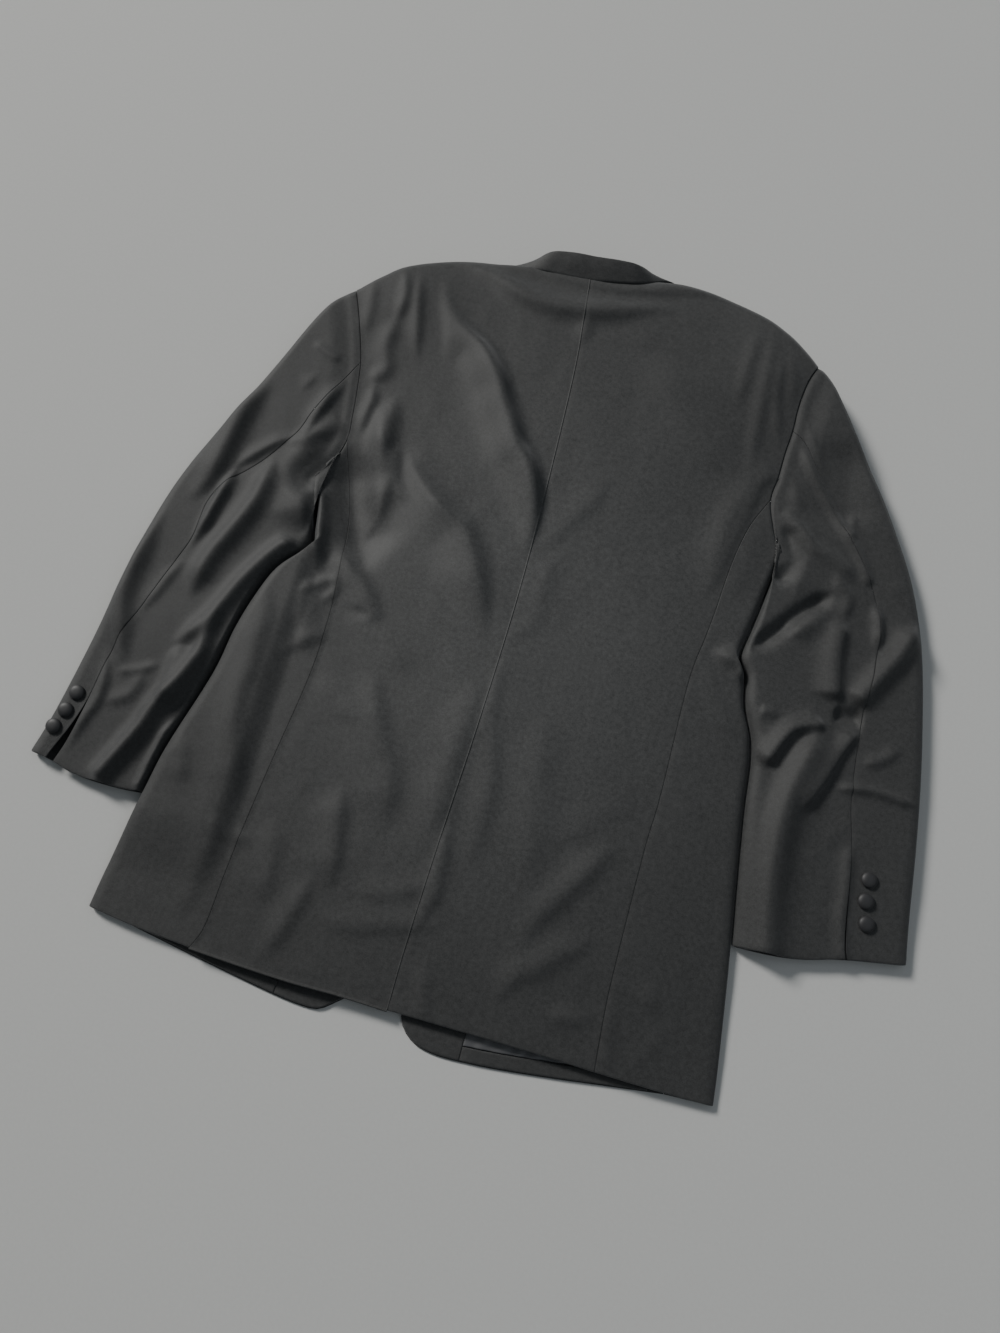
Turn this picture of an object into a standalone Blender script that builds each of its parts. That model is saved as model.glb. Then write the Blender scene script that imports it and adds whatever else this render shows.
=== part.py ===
"""A man's tuxedo jacket laid flat on a surface, its back up and its sleeves turned down.

Run with: blender --background --python part.py

Tables are in millimetres, in the garment's own frame: x runs from the wearer's left to the
wearer's right with 0 near the centre back, y from the back hem (0) up to the collar, z up
from the surface. Every panel is a sheet of cloth, a grid whose outer points come from its
boundary lines and heights, given its wall by an extrusion along its normals.
"""

import math
from collections import namedtuple

import bmesh
import bpy
import numpy as np
from mathutils import Vector
from mathutils.bvhtree import BVHTree

MM = 0.001

# Driving sizes, mm
FRAME_X, FRAME_Y = 18.0, 397.5  # garment point that stands over the part's origin
BODY_WALL = 2.0  # wool, canvas and lining together
SLEEVE_WALL = 1.5
FACING_WALL = 1.2
LAPEL_WALL = 1.6
SEAM_GAP = 0.3
FRONT_SEAM_GAP = 0.6  # the front seams lie hidden underneath, on a slope
ROLL_TOP = 18.0  # how far in from a folded edge the upper cloth starts to fall
ROLL_UNDER = 7.0  # the same for the cloth underneath
ROLL_MIDDLE = 0.4  # height of a folded edge, as a share of the height beside it
SLEEVE_LIFT = 7.0  # how far the left side is held up by the cuff half under it
LAPEL_LIFT = 2.6  # how far the chest is held up by the lapels under it
TUCKED_HEIGHT = 5.6  # the left sleeve's height where the body lies on it
SLEEVE_LEAST = 8.0  # a sleeve's height under its deepest fold
FACING_WIDTH = 71.0
HEM_SHOWING = 13.0  # depth of the hem's turn-up that the lining leaves bare
LINING_TOP = 225.0
HEM_START = 0.06  # where the turn-up starts, as a share of the front's hem
CUT_INSET, FACING_INSET = 1.2, 9.6  # inside pieces end this far in from the front's edges
GORGE_DROP = 20  # the lapel stops this far short of the roll line's last point
BUTTON_RADIUS, BUTTON_DEPTH = 7.7, 5.0
BUTTON_SEGMENTS, BUTTON_RINGS = 16, 8
VENT_LENGTH = 0.13  # of the cuff vent, as a share of the hind-arm seam

# Cells of the grids
SEAM_ROWS = 18
SIDE_CELLS, SEAM_CELLS, HEAD_CELLS = 4, 3, 3  # underarm to side seam, to hind-arm seam, to shoulder
BACK_CELLS = 10
SLEEVE_ROWS = 22
ROLL_STEPS = (0.0, 0.134, 0.5)  # stations round a folded edge, up to its full width
NECK_BLEND = 0.06  # share of the back's width over which the neck's edge passes into the shoulder's
FRONT_COLUMNS = (0.0, 0.2, 0.42, 0.62, 0.76, 0.86, 0.94, 1.0)
LAPEL_COLUMNS, LAPEL_ROWS = (0.0, 0.35, 0.7, 1.0), 13
INNER_EASE, HIND_EASE = 1.8, 1.15  # rows of these sleeve lines crowd towards the armhole
SHOULDER_OPEN = 5e-6  # the last row stops this share short, so that the shoulder seam stays open

# Body heights up the centre back, and sleeve heights: y, height of the outer cloth
CROWN = (
    (-30, 11), (0, 11), (80, 13.5), (200, 16), (350, 17.5), (480, 19), (600, 24), (700, 30), (760, 31),
    (810, 26),
)
SLEEVE_CROWN = (
    (120, 11), (150, 12), (250, 16), (400, 18), (520, 21), (600, 25), (680, 31), (760, 34),
)
BODY_MIDDLE, BODY_HALF = 5, 290  # the crown line, and how far its fall to the sides reaches
SIDE_FALL = 0.22  # share of the height lost at the sides
# The padded shoulders stand up in a mound each: distance from the middle, y, half widths, height
MOUND_X, MOUND_Y, MOUND_WIDE, MOUND_LONG, MOUND_HEIGHT = 212, 728, 62, 66, 6.0
MOUND_MIDDLE = 8

# Where one layer lies under another: start and end of each rise, mm
TUCK_ACROSS, TUCK_BELOW, TUCK_ABOVE = (-188, -212), (55, 123), (456, 410)  # left cuff half
LAPEL_BELOW, LAPEL_ACROSS = (235, 295), (182, 155)
TUCK_TO_TOP = 0.9  # share of the lift that reaches the outer cloth
TUCK_EDGE, TUCK_SLOPE = 7, 0.9  # the tucked sleeve starts to rise this far out, this steeply
TUCK_END, TUCK_END_SLOPE = 430, 0.6  # and above this y, this steeply
HEAD_BLEND = 34  # over this distance from the armhole the sleeve leaves the body's height

# A fold runs from (x0, y0) to (x1, y1), bowed sideways to +x; its height is negative in a
# trough; west and east are its half widths on either side.
Fold = namedtuple("Fold", "x0 y0 x1 y1 bow height west east")
BODY_FOLDS = (
    Fold(-158, 722, -12, 455, 34, 10.8, 44, 15),
    Fold(-168, 775, -134, 655, 6, 3.0, 9, 8),
    Fold(-176, 600, -160, 430, -6, 4.8, 14, 9),
    Fold(-112, 545, -42, 385, 8, 6.0, 30, 17),
    Fold(-200, 540, -112, 350, -8, -4.8, 12, 16),
    Fold(-240, 362, -212, 140, -8, 4.2, 12, 15),
    Fold(-206, 150, -207, 30, 0, -2.4, 10, 9),
    Fold(-112, 320, -62, 165, 8, 4.2, 30, 15),
    Fold(-122, 200, -96, 60, 6, 3.0, 26, 20),
    Fold(-2, 330, -9, 95, -3, -2.6, 14, 8),
    Fold(86, 700, 178, 590, 8, -3.0, 22, 30),
    Fold(196, 790, 192, 640, 3, 2.6, 8, 7),
    Fold(222, 785, 214, 600, 4, 3.1, 9, 7),
    Fold(244, 640, 178, 445, 12, -4.2, 14, 10),
    Fold(80, 560, 28, 440, 0, -2.4, 20, 14),
    Fold(200, 275, 92, 60, 22, 3.6, 16, 24),
    Fold(226, 420, 262, 362, -6, -3.6, 9, 9),
    Fold(44, 260, 36, 110, 0, 2.2, 16, 16),
)
LEFT_SLEEVE_FOLDS = (
    Fold(-262, 492, -302, 318, -6, -8.8, 11, 13),
    Fold(-306, 486, -322, 380, 2, 6.1, 9, 8),
    Fold(-362, 440, -345, 250, -12, -5.4, 9, 10),
    Fold(-218, 440, -312, 275, -6, 8.8, 16, 9),
    Fold(-310, 282, -252, 318, -6, 4.7, 9, 9),
    Fold(-246, 325, -330, 142, 10, -7.4, 13, 14),
    Fold(-222, 610, -258, 515, 6, -4.1, 8, 8),
    Fold(-228, 520, -212, 398, 0, -12.2, 12, 14),
)
RIGHT_SLEEVE_FOLDS = (
    Fold(326, 566, 366, 505, 3, -5.1, 8, 9),
    Fold(252, 590, 345, 545, -8, 7.2, 9, 13),
    Fold(254, 560, 285, 470, 8, -5.8, 10, 10),
    Fold(248, 405, 316, 496, -2, -11.6, 11, 9),
    Fold(262, 398, 334, 500, 4, 7.2, 7, 10),
    Fold(338, 462, 366, 362, 2, -6.5, 10, 12),
    Fold(366, 362, 420, 476, 8, -7.2, 11, 11),
    Fold(350, 385, 318, 145, 4, -6.5, 20, 16),
    Fold(374, 356, 326, 262, 0, -5.1, 8, 8),
    Fold(282, 292, 334, 356, 2, -6.5, 9, 9),
    Fold(360, 300, 424, 302, 4, -3.6, 6, 6),
)

CENTRE_BACK = (
    (-6, 0), (-5, 50), (-1, 130), (3, 200), (8, 280), (13, 400), (14, 500), (13, 600), (11, 680),
    (7, 735), (2, 794),
)
# Outlines of one side of the laid jacket. Underarm and shoulder end the armhole; its points 2
# and 5 are where the side-back seam and the hind-arm seam reach it.
LEFT = dict(
    sign=-1,
    back_hem=((-6, 0), (-51, 2), (-101, 2.5), (-151, 5), (-197, 8)),
    side_hem=((-197, 8), (-251, 13), (-302, 20)),
    back_seam=(
        (-197, 8), (-189, 30), (-186, 80), (-182, 130), (-177, 180), (-166, 280), (-165, 340), (-169, 399),
        (-179, 459), (-191, 499), (-204, 540),
    ),
    edge=(
        (-302, 20), (-298, 60), (-287, 135), (-280, 181), (-260, 261), (-254, 311), (-245, 351),
        (-234, 382), (-217, 402), (-204, 415), (-207, 434), (-215, 467), (-228, 488),
    ),
    armhole=(
        (-228, 488), (-213, 512), (-204, 540), (-206, 570), (-210, 601), (-215, 631), (-225, 664),
        (-235, 692), (-246, 719),
    ),
    neck=((2, 794), (-35, 793), (-66, 796)),
    shoulder=((-66, 796), (-98, 792), (-148, 783), (-197, 762), (-222, 742), (-246, 719)),
    front_seam=(
        (-257, 13), (-248, 100), (-238, 200), (-220, 300), (-196, 370), (-178, 415), (-183, 460),
        (-193, 500), (-204, 540),
    ),
    front_hem=(
        (-257, 13), (-203, 3), (-152, -6), (-102, -14), (-76, -16), (-66, -14), (-56, -7), (-46, 1),
    ),
    front_edge=(
        (-46, 1), (-42, 60), (-38, 150), (-36, 250), (-36, 330), (-45, 450), (-57, 600), (-64, 720),
        (-66, 796),
    ),
    lapel_edge=((-42, 335), (-78, 420), (-112, 520), (-138, 620), (-150, 672)),
    sleeve_outer=(
        (-246, 719), (-264, 702), (-281, 671), (-304, 611), (-332, 541), (-359, 476), (-374, 416),
        (-384, 341), (-391, 260), (-400, 190), (-409, 145),
    ),
    sleeve_inner=(
        (-228, 488), (-220, 462), (-211, 436), (-208, 416), (-218, 398), (-226, 380), (-229, 340),
        (-232, 280), (-239, 210), (-250, 139),
    ),
    hind_seam=(
        (-215, 631), (-232, 594), (-247, 560), (-258, 530), (-281, 495), (-311, 461), (-324, 436),
        (-326, 397), (-334, 367), (-352, 307), (-360, 278), (-365, 248), (-372, 190), (-386, 141),
    ),
    cuff=((-409, 145), (-386, 141), (-353, 133), (-302, 132), (-250, 139)),
    vent=8.0,  # width of the cuff vent's mouth
    lining_start=0.43,
    folds=LEFT_SLEEVE_FOLDS,
    buttons=((-382, 210), (-387, 191), (-393, 173)),
)
RIGHT = dict(
    sign=1,
    back_hem=((-6, 0), (50, -1), (100, -2), (150, -3.5), (187, -5)),
    side_hem=((187, -5), (240, -6.5), (296, -7)),
    back_seam=(
        (187, -5), (185, 50), (186, 100), (190, 200), (194, 250), (197, 350), (200, 387), (205, 415),
        (210, 449), (216, 499), (226, 544), (242, 580),
    ),
    edge=(
        (296, -7), (294, 30), (288, 110), (281, 181), (274, 261), (272, 301), (267, 331), (257, 356),
        (251, 387), (242, 404), (247, 432), (253, 462), (264, 520),
    ),
    armhole=(
        (264, 520), (251, 548), (242, 580), (245, 607), (247, 635), (250, 662), (251, 692), (256, 722),
        (266, 748),
    ),
    neck=((2, 794), (25, 796), (45, 801), (68, 808)),
    shoulder=(
        (68, 808), (80, 814), (110, 817), (149, 812), (199, 797), (228, 781), (248, 765), (266, 748),
    ),
    front_seam=(
        (252, -8), (250, 60), (246, 120), (240, 200), (232, 270), (228, 310), (222, 345), (212, 390),
        (208, 410), (212, 450), (222, 500), (232, 540), (242, 580),
    ),
    front_hem=(
        (252, -8), (201, -14), (151, -20), (100, -25), (60, -27), (40, -26), (25, -22), (13, -13), (7, -2),
    ),
    front_edge=(
        (7, -2), (8, 60), (10, 150), (10, 250), (10, 330), (24, 450), (45, 600), (60, 720), (68, 808),
    ),
    lapel_edge=((16, 335), (52, 420), (88, 520), (120, 620), (140, 680)),
    sleeve_outer=(
        (266, 748), (280, 736), (300, 706), (336, 646), (368, 591), (399, 526), (419, 456), (431, 371),
        (438, 290), (442, 200), (445, 154),
    ),
    sleeve_inner=(
        (264, 520), (259.3, 489), (254.8, 464), (249.3, 436), (244.2, 412), (244.6, 402), (252.2, 388),
        (257, 362), (262.4, 346), (269.5, 327), (273.3, 303), (275.4, 260), (279.1, 216), (282.4, 180),
        (287.2, 132),
    ),
    hind_seam=(
        (250, 662), (266, 649), (283, 622), (313, 575), (337, 542), (347, 527), (357, 510), (367, 486),
        (373, 456), (372, 426), (369, 387), (370, 298), (378, 243), (385, 164), (389, 145),
    ),
    cuff=((445, 154), (389, 145), (352, 136), (321, 132.5), (287.2, 132)),
    vent=1.5,
    lining_start=0.1,
    folds=RIGHT_SLEEVE_FOLDS,
    buttons=((398, 221), (398, 201), (402, 181)),
)
ARMHOLE_SIDE_SEAM, ARMHOLE_HIND_SEAM = 2, 5
LAPEL_START, LAPEL_END = 4, 7  # the points of the front edge between which the lapel rolls out
OUTLINES = (
    "back_hem", "side_hem", "back_seam", "edge", "armhole", "neck", "shoulder", "front_seam",
    "front_hem", "front_edge", "lapel_edge", "sleeve_outer", "sleeve_inner", "hind_seam", "cuff",
)

# The collar's sections from its left end under the front, round the neck to its right end:
# fold line, leaf edge and foot of the stand, each as x, y, z; puff is how round the fold is.
Collar = namedtuple("Collar", "fold edge foot puff")
COLLAR_SECTIONS = (
    Collar((-63, 700.4, 0), (-119, 682.3, 0), (-56, 702.7, 0), 0),
    Collar((-64, 752, 0), (-117, 742, 0), (-57, 753, 0), 0),
    Collar((-62, 796.5, 0), (-103, 792, 0), (-55, 796.5, 0), 0),
    Collar((-60, 804, 8), (-96, 799.5, 8), (-52, 803, 7), 0.3),
    Collar((-56, 806, 24), (-84, 796, 22.5), (-47, 801, 16), 0.6),
    Collar((-45, 808, 37), (-62, 786, 31.5), (-37, 796.5, 24), 1),
    Collar((-25, 810, 40), (-32, 784, 31.5), (-24, 795.5, 26), 1),
    Collar((2, 811, 40.5), (2, 785, 31.5), (2, 796, 26), 1),
    Collar((28, 813, 40), (32, 789.5, 31.5), (27, 798.5, 26), 1),
    Collar((48, 815, 37), (62, 798, 31), (41, 803, 24), 1),
    Collar((60, 819, 24), (86, 817.5, 22.5), (51, 812, 16), 0.6),
    Collar((64, 817, 8), (102, 821.5, 8), (56, 814, 7), 0.3),
    Collar((66, 807, 0), (112, 812.5, 0), (59, 807, 0), 0),
    Collar((66, 766, 0), (121, 764, 0), (58, 766, 0), 0),
    Collar((58, 700.4, 0), (114, 686.7, 0), (50, 702.4, 0), 0),
)
COLLAR_PUFF, LEAF_BEND = 1.6, 0.35  # how far the fold bulges, and where the leaf bends
COLLAR_CELLS = 2  # cells of the grid between two sections

COLOURS = {  # base colour, roughness
    "wool": ((0.012, 0.013, 0.013), 0.85),
    "satin": ((0.010, 0.010, 0.011), 0.35),
    "lining": ((0.11, 0.11, 0.115), 0.45),
}


def smooth(value):
    """0 below 0, 1 above 1, and an even rise between."""
    value = np.clip(value, 0.0, 1.0)
    return value * value * (3.0 - 2.0 * value)


def ramp(value, start, end):
    """An even rise from 0 to 1 between two places."""
    return smooth((value - start) / (end - start))


class Line:
    """A smooth line through points, read by its share of the length."""

    STEPS = 10

    def __init__(self, points):
        points = np.array(points, float)
        padded = np.vstack([2 * points[0] - points[1], points, 2 * points[-1] - points[-2]])
        share = (np.arange(self.STEPS) / self.STEPS)[:, None]
        spans = []
        for before, start, end, after in zip(padded, padded[1:], padded[2:], padded[3:]):
            bend = 2 * before - 5 * start + 4 * end - after
            twist = 3 * start - before - 3 * end + after
            spans.append(0.5 * (2 * start + (end - before) * share + bend * share**2 + twist * share**3))
        self.dense = np.vstack(spans + [points[-1:]])
        run = np.linalg.norm(np.diff(self.dense, axis=0), axis=1)
        self.marks = np.concatenate([[0.0], np.cumsum(run)])
        self.length = self.marks[-1]

    def __call__(self, share):
        at = np.asarray(share, float) * self.length
        return np.stack([np.interp(at, self.marks, axis) for axis in self.dense.T], -1)

    def mark(self, index):
        """Length from the start to one of the given points."""
        return self.marks[index * self.STEPS]

    def part(self, start, end):
        """The stretch between two lengths, read by its own share."""
        return lambda share: self((start + (end - start) * np.asarray(share, float)) / self.length)


def chain(first, second, share):
    """Two lines end to end, the first over the given share of the whole."""

    def read(value):
        value = np.asarray(value, float)
        low = first(np.clip(value / share, 0, 1))
        high = second(np.clip((value - share) / (1 - share), 0, 1))
        return np.where((value < share)[..., None], low, high)

    return read


def turned(line):
    """A line read from its other end."""
    return lambda share: line(1 - np.asarray(share, float))


def eased(line, power):
    """A line whose rows crowd towards its start."""
    return lambda share: line(np.asarray(share, float) ** power)


def patch(u, v, low, high, near, far):
    """Plan points inside four boundary lines: low and high run along u, near and far along v."""
    u, v = np.broadcast_arrays(u, v)
    a, b = u[..., None], v[..., None]
    rows = (1 - b) * low(u) + b * high(u)
    columns = (1 - a) * near(v) + a * far(v)
    corners = (1 - a) * ((1 - b) * low(0) + b * high(0)) + a * ((1 - b) * low(1) + b * high(1))
    return rows + columns - corners


def folds_at(folds, x, y):
    """Height that a table of folds adds at plan points."""
    total = np.zeros_like(x)
    for fold in folds:
        dx, dy = fold.x1 - fold.x0, fold.y1 - fold.y0
        length = math.hypot(dx, dy)
        turn = math.copysign(1.0, dy)
        along = ((x - fold.x0) * dx + (y - fold.y0) * dy) / length**2
        side = turn * ((x - fold.x0) * dy - (y - fold.y0) * dx) / length
        side = side - 4 * fold.bow * along * (1 - along)
        width = np.where(side > 0, fold.east, fold.west)
        ends = smooth(along / 0.3) * smooth((1 - along) / 0.3)
        total += fold.height * np.exp(-((side / width) ** 2)) * ends
    return total


def read_table(table, value):
    places, heights = zip(*table)
    return np.interp(value, places, heights)


def sleeve_under(x, y):
    """How far the left side is lifted by the sleeve that lies under it."""
    return SLEEVE_LIFT * ramp(x, *TUCK_ACROSS) * ramp(y, *TUCK_BELOW) * ramp(y, *TUCK_ABOVE)


def lapel_under(x, y):
    """How far the chest is lifted by the lapels that lie under it."""
    return LAPEL_LIFT * ramp(y, *LAPEL_BELOW) * ramp(np.abs(x), *LAPEL_ACROSS)


def front_under(x, y):
    """Height of a front's underside."""
    return lapel_under(x, y) + sleeve_under(x, y)


def body_top(x, y):
    """Height of the body's outer cloth, away from its folded edges."""
    across = np.clip(np.abs(x - BODY_MIDDLE) / BODY_HALF, 0, 1)
    mound_across = (np.abs(x - MOUND_MIDDLE) - MOUND_X) / MOUND_WIDE
    mound = MOUND_HEIGHT * np.exp(-(mound_across**2) - ((y - MOUND_Y) / MOUND_LONG) ** 2)
    height = read_table(CROWN, y) * (1 - SIDE_FALL * across**2) + mound
    return height + folds_at(BODY_FOLDS, x, y) + TUCK_TO_TOP * sleeve_under(x, y)


class Side:
    """The lines, stations and heights of one side of the jacket."""

    def __init__(self, name, table):
        self.name, self.table, self.sign = name, table, table["sign"]
        self.lines = {key: Line(table[key]) for key in OUTLINES}
        arm = self.lines["armhole"]
        self.side_mark = arm.mark(ARMHOLE_SIDE_SEAM)
        self.hind_mark = arm.mark(ARMHOLE_HIND_SEAM)
        self.upper_marks = self.armhole_marks(ROLL_TOP)
        self.lower_marks = self.armhole_marks(ROLL_UNDER)
        self.seam_share = self.lines["back_seam"].dense[-1][1] / CENTRE_BACK[-1][1]
        self.rows = np.linspace(0, self.seam_share, SEAM_ROWS + 1)

    def armhole_marks(self, roll):
        """Stations up the armhole, from the underarm to the shoulder."""
        length = self.lines["armhole"].length
        turn = roll * np.array(ROLL_STEPS)
        return np.concatenate([
            turn,
            np.linspace(roll, self.side_mark, SIDE_CELLS + 1),
            np.linspace(self.side_mark, self.hind_mark, SEAM_CELLS + 1)[1:],
            np.linspace(self.hind_mark, length - roll, HEAD_CELLS + 1)[1:],
            length - turn[::-1],
        ])

    def body_rows(self, marks):
        """Rows of a panel that runs from the hem up its seam and then up the armhole."""
        arm = self.lines["armhole"]
        above = marks[len(ROLL_STEPS) + SIDE_CELLS + 1:]
        share = (above - self.side_mark) / (arm.length - self.side_mark)
        share[-1] = 1 - SHOULDER_OPEN
        return np.concatenate([self.rows, self.seam_share + (1 - self.seam_share) * share])

    def sleeve_top(self, x, y):
        """Height of the sleeve's outer cloth, which leaves the body's at the armhole."""
        own = read_table(SLEEVE_CROWN, y) + folds_at(self.table["folds"], x, y)
        arm = self.lines["armhole"].dense
        points = np.stack([x, y], -1)[..., None, :]
        away = np.sqrt(((points - arm) ** 2).sum(-1)).min(-1)
        share = smooth(away / HEAD_BLEND)
        height = np.maximum(body_top(x, y) * (1 - share) + own * share, SLEEVE_LEAST)
        if self.sign < 0:
            edge = self.lines["edge"].dense
            outside = np.interp(y, edge[:, 1], edge[:, 0]) - x
            room = TUCKED_HEIGHT + TUCK_SLOPE * np.clip(outside - TUCK_EDGE, 0, None)
            height = np.minimum(height, room + TUCK_END_SLOPE * np.clip(y - TUCK_END, 0, None))
        return height


def unit(vectors):
    return vectors / np.linalg.norm(vectors, axis=-1, keepdims=True)


def level(x, y):
    """The surface that the jacket lies on."""
    return np.zeros_like(x)


def fall(away, reach):
    """Share of the full height at a distance from a folded edge, round a quarter ellipse."""
    inside = np.clip(1 - away / np.maximum(reach, 1e-6), 0, 1)
    return np.sqrt(np.clip(1 - inside**2, 0, 1))


def slope_normal(height, x, y):
    step = 1.0
    east = (height(x + step, y) - height(x - step, y)) / (2 * step)
    north = (height(x, y + step) - height(x, y - step)) / (2 * step)
    return unit(np.stack([-east, -north, np.ones_like(east)], -1))


def layer(plan, edge, reach, top, bottom, upper, outward, weight=1.0, rest=None):
    """Outer points and unit normals of one layer of cloth that turns round a folded edge.

    plan: the layer's points; edge: the edge's point for each; reach: the roll's width; top and
    bottom: heights of the cloth above and underneath; upper: which of the two this is;
    outward: the way out of the edge; weight: 0 where the layer runs on level; rest: the height
    on which the fold lies, where that isn't the bottom's.
    """
    x, y = plan[..., 0], plan[..., 1]
    share = fall(np.linalg.norm(edge - plan, axis=-1), reach)
    low = (rest or bottom)(x, y)
    middle = low + ROLL_MIDDLE * (top(x, y) - low)
    full = top(x, y) if upper else bottom(x, y)
    across = slope_normal(top, x, y) if upper else -slope_normal(bottom, x, y)
    z = full + weight * (middle - full) * (1 - share)
    lean = np.sqrt(np.clip(1 - share**2, 0, 1)) * weight * np.abs(full - middle)
    outward = np.broadcast_to(outward, plan.shape)
    side = np.concatenate([outward, np.zeros(plan.shape[:-1] + (1,))], -1)
    normal = unit(across * (share * reach)[..., None] + side * lean[..., None])
    return np.concatenate([plan, z[..., None]], -1), normal


def sheet(name, outer, normal, wall, material):
    """One panel: a grid moved to its outer points, then extruded inwards to its wall."""
    rows, columns = outer.shape[:2]
    place = np.array([FRAME_X, FRAME_Y, 0.0])
    outer_points = (outer - place) * MM
    inner_points = (outer - wall * normal - place) * MM
    mesh = bpy.data.meshes.new(name)
    cloth = bmesh.new()
    row_key = cloth.verts.layers.int.new("row")
    column_key = cloth.verts.layers.int.new("column")
    bmesh.ops.create_grid(cloth, x_segments=columns - 1, y_segments=rows - 1, size=1.0)
    for vert in cloth.verts:
        vert[column_key] = round((vert.co.x + 1) / 2 * (columns - 1))
        vert[row_key] = round((vert.co.y + 1) / 2 * (rows - 1))
        vert.co = outer_points[vert[row_key], vert[column_key]]
    wall_side = bmesh.ops.extrude_face_region(cloth, geom=cloth.faces[:], use_keep_orig=True)
    for vert in wall_side["geom"]:
        if isinstance(vert, bmesh.types.BMVert):
            vert.co = inner_points[vert[row_key], vert[column_key]]
    bmesh.ops.recalc_face_normals(cloth, faces=cloth.faces[:])
    cloth.to_mesh(mesh)
    cloth.free()
    mesh.shade_smooth()
    mesh.set_sharp_from_angle(angle=math.radians(50))
    return add_object(name, mesh, material)


def add_object(name, mesh, material):
    piece = bpy.data.objects.new(name, mesh)
    mesh.materials.append(material)
    jacket.objects.link(piece)
    return piece


def shrink(values, length):
    """Grid stations drawn in from both ends by half a seam's gap."""
    values = np.array(values, float)
    inset = SEAM_GAP / 2 / length
    values[..., 0] += inset
    values[..., -1] -= inset
    return values


def back(side):
    """Half of the back, from the centre-back seam to the side-back seam and the armhole."""
    lines = side.lines
    arm = lines["armhole"]
    armhole = arm.part(side.side_mark, arm.length)
    outer_edge = chain(lines["back_seam"], armhole, side.seam_share)
    neck, shoulder = lines["neck"], lines["shoulder"]
    neck_share = neck.length / (neck.length + shoulder.length)
    top_edge = chain(neck, shoulder, neck_share)
    u = shrink(np.linspace(0, 1, BACK_CELLS + 1), lines["back_hem"].length)[None, :]
    v = side.body_rows(side.upper_marks)[:, None]
    shape = (lines["back_hem"], top_edge, Line(CENTRE_BACK), outer_edge)
    plan = patch(u, v, *shape)
    edge = patch(u, np.ones_like(v), *shape)
    start = patch(u, np.full_like(v, v[-1 - len(ROLL_STEPS)]), *shape)
    weight = ramp(u, neck_share - NECK_BLEND, neck_share + NECK_BLEND)
    outward = unit(edge - start)
    outer, normal = layer(plan, edge, ROLL_TOP, body_top, sleeve_under, True, outward, weight)
    return sheet(f"back_{side.name}", outer, normal, BODY_WALL, materials["wool"])


def folded_columns(width, radius, flat):
    """Shares of each row from its folded edge: round the roll, then over the flat."""
    reach = np.minimum(radius, 0.5 * width)
    start = reach / width
    turn = np.array(ROLL_STEPS)[None, :]
    return np.hstack([start * turn, start + (1 - start) * flat[None, :]]), reach


def side_panel(side):
    """The underarm panel: from the side-back seam round the fold to the front's seam."""
    lines = side.lines
    arm = lines["armhole"]
    v = (side.rows / side.seam_share)[:, None]
    edge = lines["edge"](v[:, 0])
    under_hem = Line([side.table["edge"][0], side.table["front_seam"][0]])
    layers = []
    for seam, low, marks, radius, upper in (
        ("back_seam", turned(lines["side_hem"]), side.upper_marks, ROLL_TOP, True),
        ("front_seam", under_hem, side.lower_marks, ROLL_UNDER, False),
    ):
        inner = lines[seam](v[:, 0])
        chord = np.linalg.norm(inner - edge, axis=-1)
        width = (chord + (side.side_mark - chord[-1]) * v[:, 0])[:, None]
        level_marks = marks[len(ROLL_STEPS): len(ROLL_STEPS) + SIDE_CELLS + 1]
        flat = (level_marks - radius) / (side.side_mark - radius)
        u, reach = folded_columns(width, radius, flat)
        u[:, -1] -= SEAM_GAP / 2 / width[:, 0]
        plan = patch(u, v, low, arm.part(0, side.side_mark), lines["edge"], lines[seam])
        outward = unit(edge - plan[:, len(ROLL_STEPS)])[:, None]
        layers.append(layer(plan, edge[:, None], reach, body_top, sleeve_under, upper, outward))
    (upper, upper_normal), (lower, lower_normal) = layers
    outer = np.concatenate([upper[:, ::-1], lower[:, 1:]], 1)
    normal = np.concatenate([upper_normal[:, ::-1], lower_normal[:, 1:]], 1)
    return sheet(f"side_panel_{side.name}", outer, normal, BODY_WALL, materials["wool"])


def front_shape(side):
    """The four boundary lines of a front, which lies underneath."""
    lines = side.lines
    arm = lines["armhole"]
    outer_edge = chain(lines["front_seam"], arm.part(side.side_mark, arm.length), side.seam_share)
    return (lines["front_hem"], turned(lines["shoulder"]), outer_edge, lines["front_edge"])


def front(side):
    shape = front_shape(side)
    u = np.array(FRONT_COLUMNS)[None, :]
    u[:, 0] = FRONT_SEAM_GAP / side.lines["front_hem"].length
    v = side.body_rows(side.lower_marks)[:, None]
    plan = patch(u, v, *shape)
    edge = patch(u, np.ones_like(v), *shape)
    start = patch(u, np.full_like(v, v[-1 - len(ROLL_STEPS)]), *shape)
    outward = unit(edge - start)
    outer, normal = layer(plan, edge, ROLL_UNDER, body_top, front_under, False, outward, rest=level)
    return sheet(f"front_{side.name}", outer, normal, BODY_WALL, materials["wool"])


def on_front(side, name, columns, rows, material):
    """A flat piece laid on the inside of a front, made from the front's own points."""
    plan = patch(np.array(columns)[None, :], np.array(rows)[:, None], *front_shape(side))
    base = BODY_WALL + SEAM_GAP + FACING_WALL
    outer = np.concatenate([plan, np.full(plan.shape[:-1] + (1,), base)], -1)
    normal = np.broadcast_to([0.0, 0.0, 1.0], outer.shape)
    return sheet(f"{name}_{side.name}", outer, normal, FACING_WALL, material)


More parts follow.
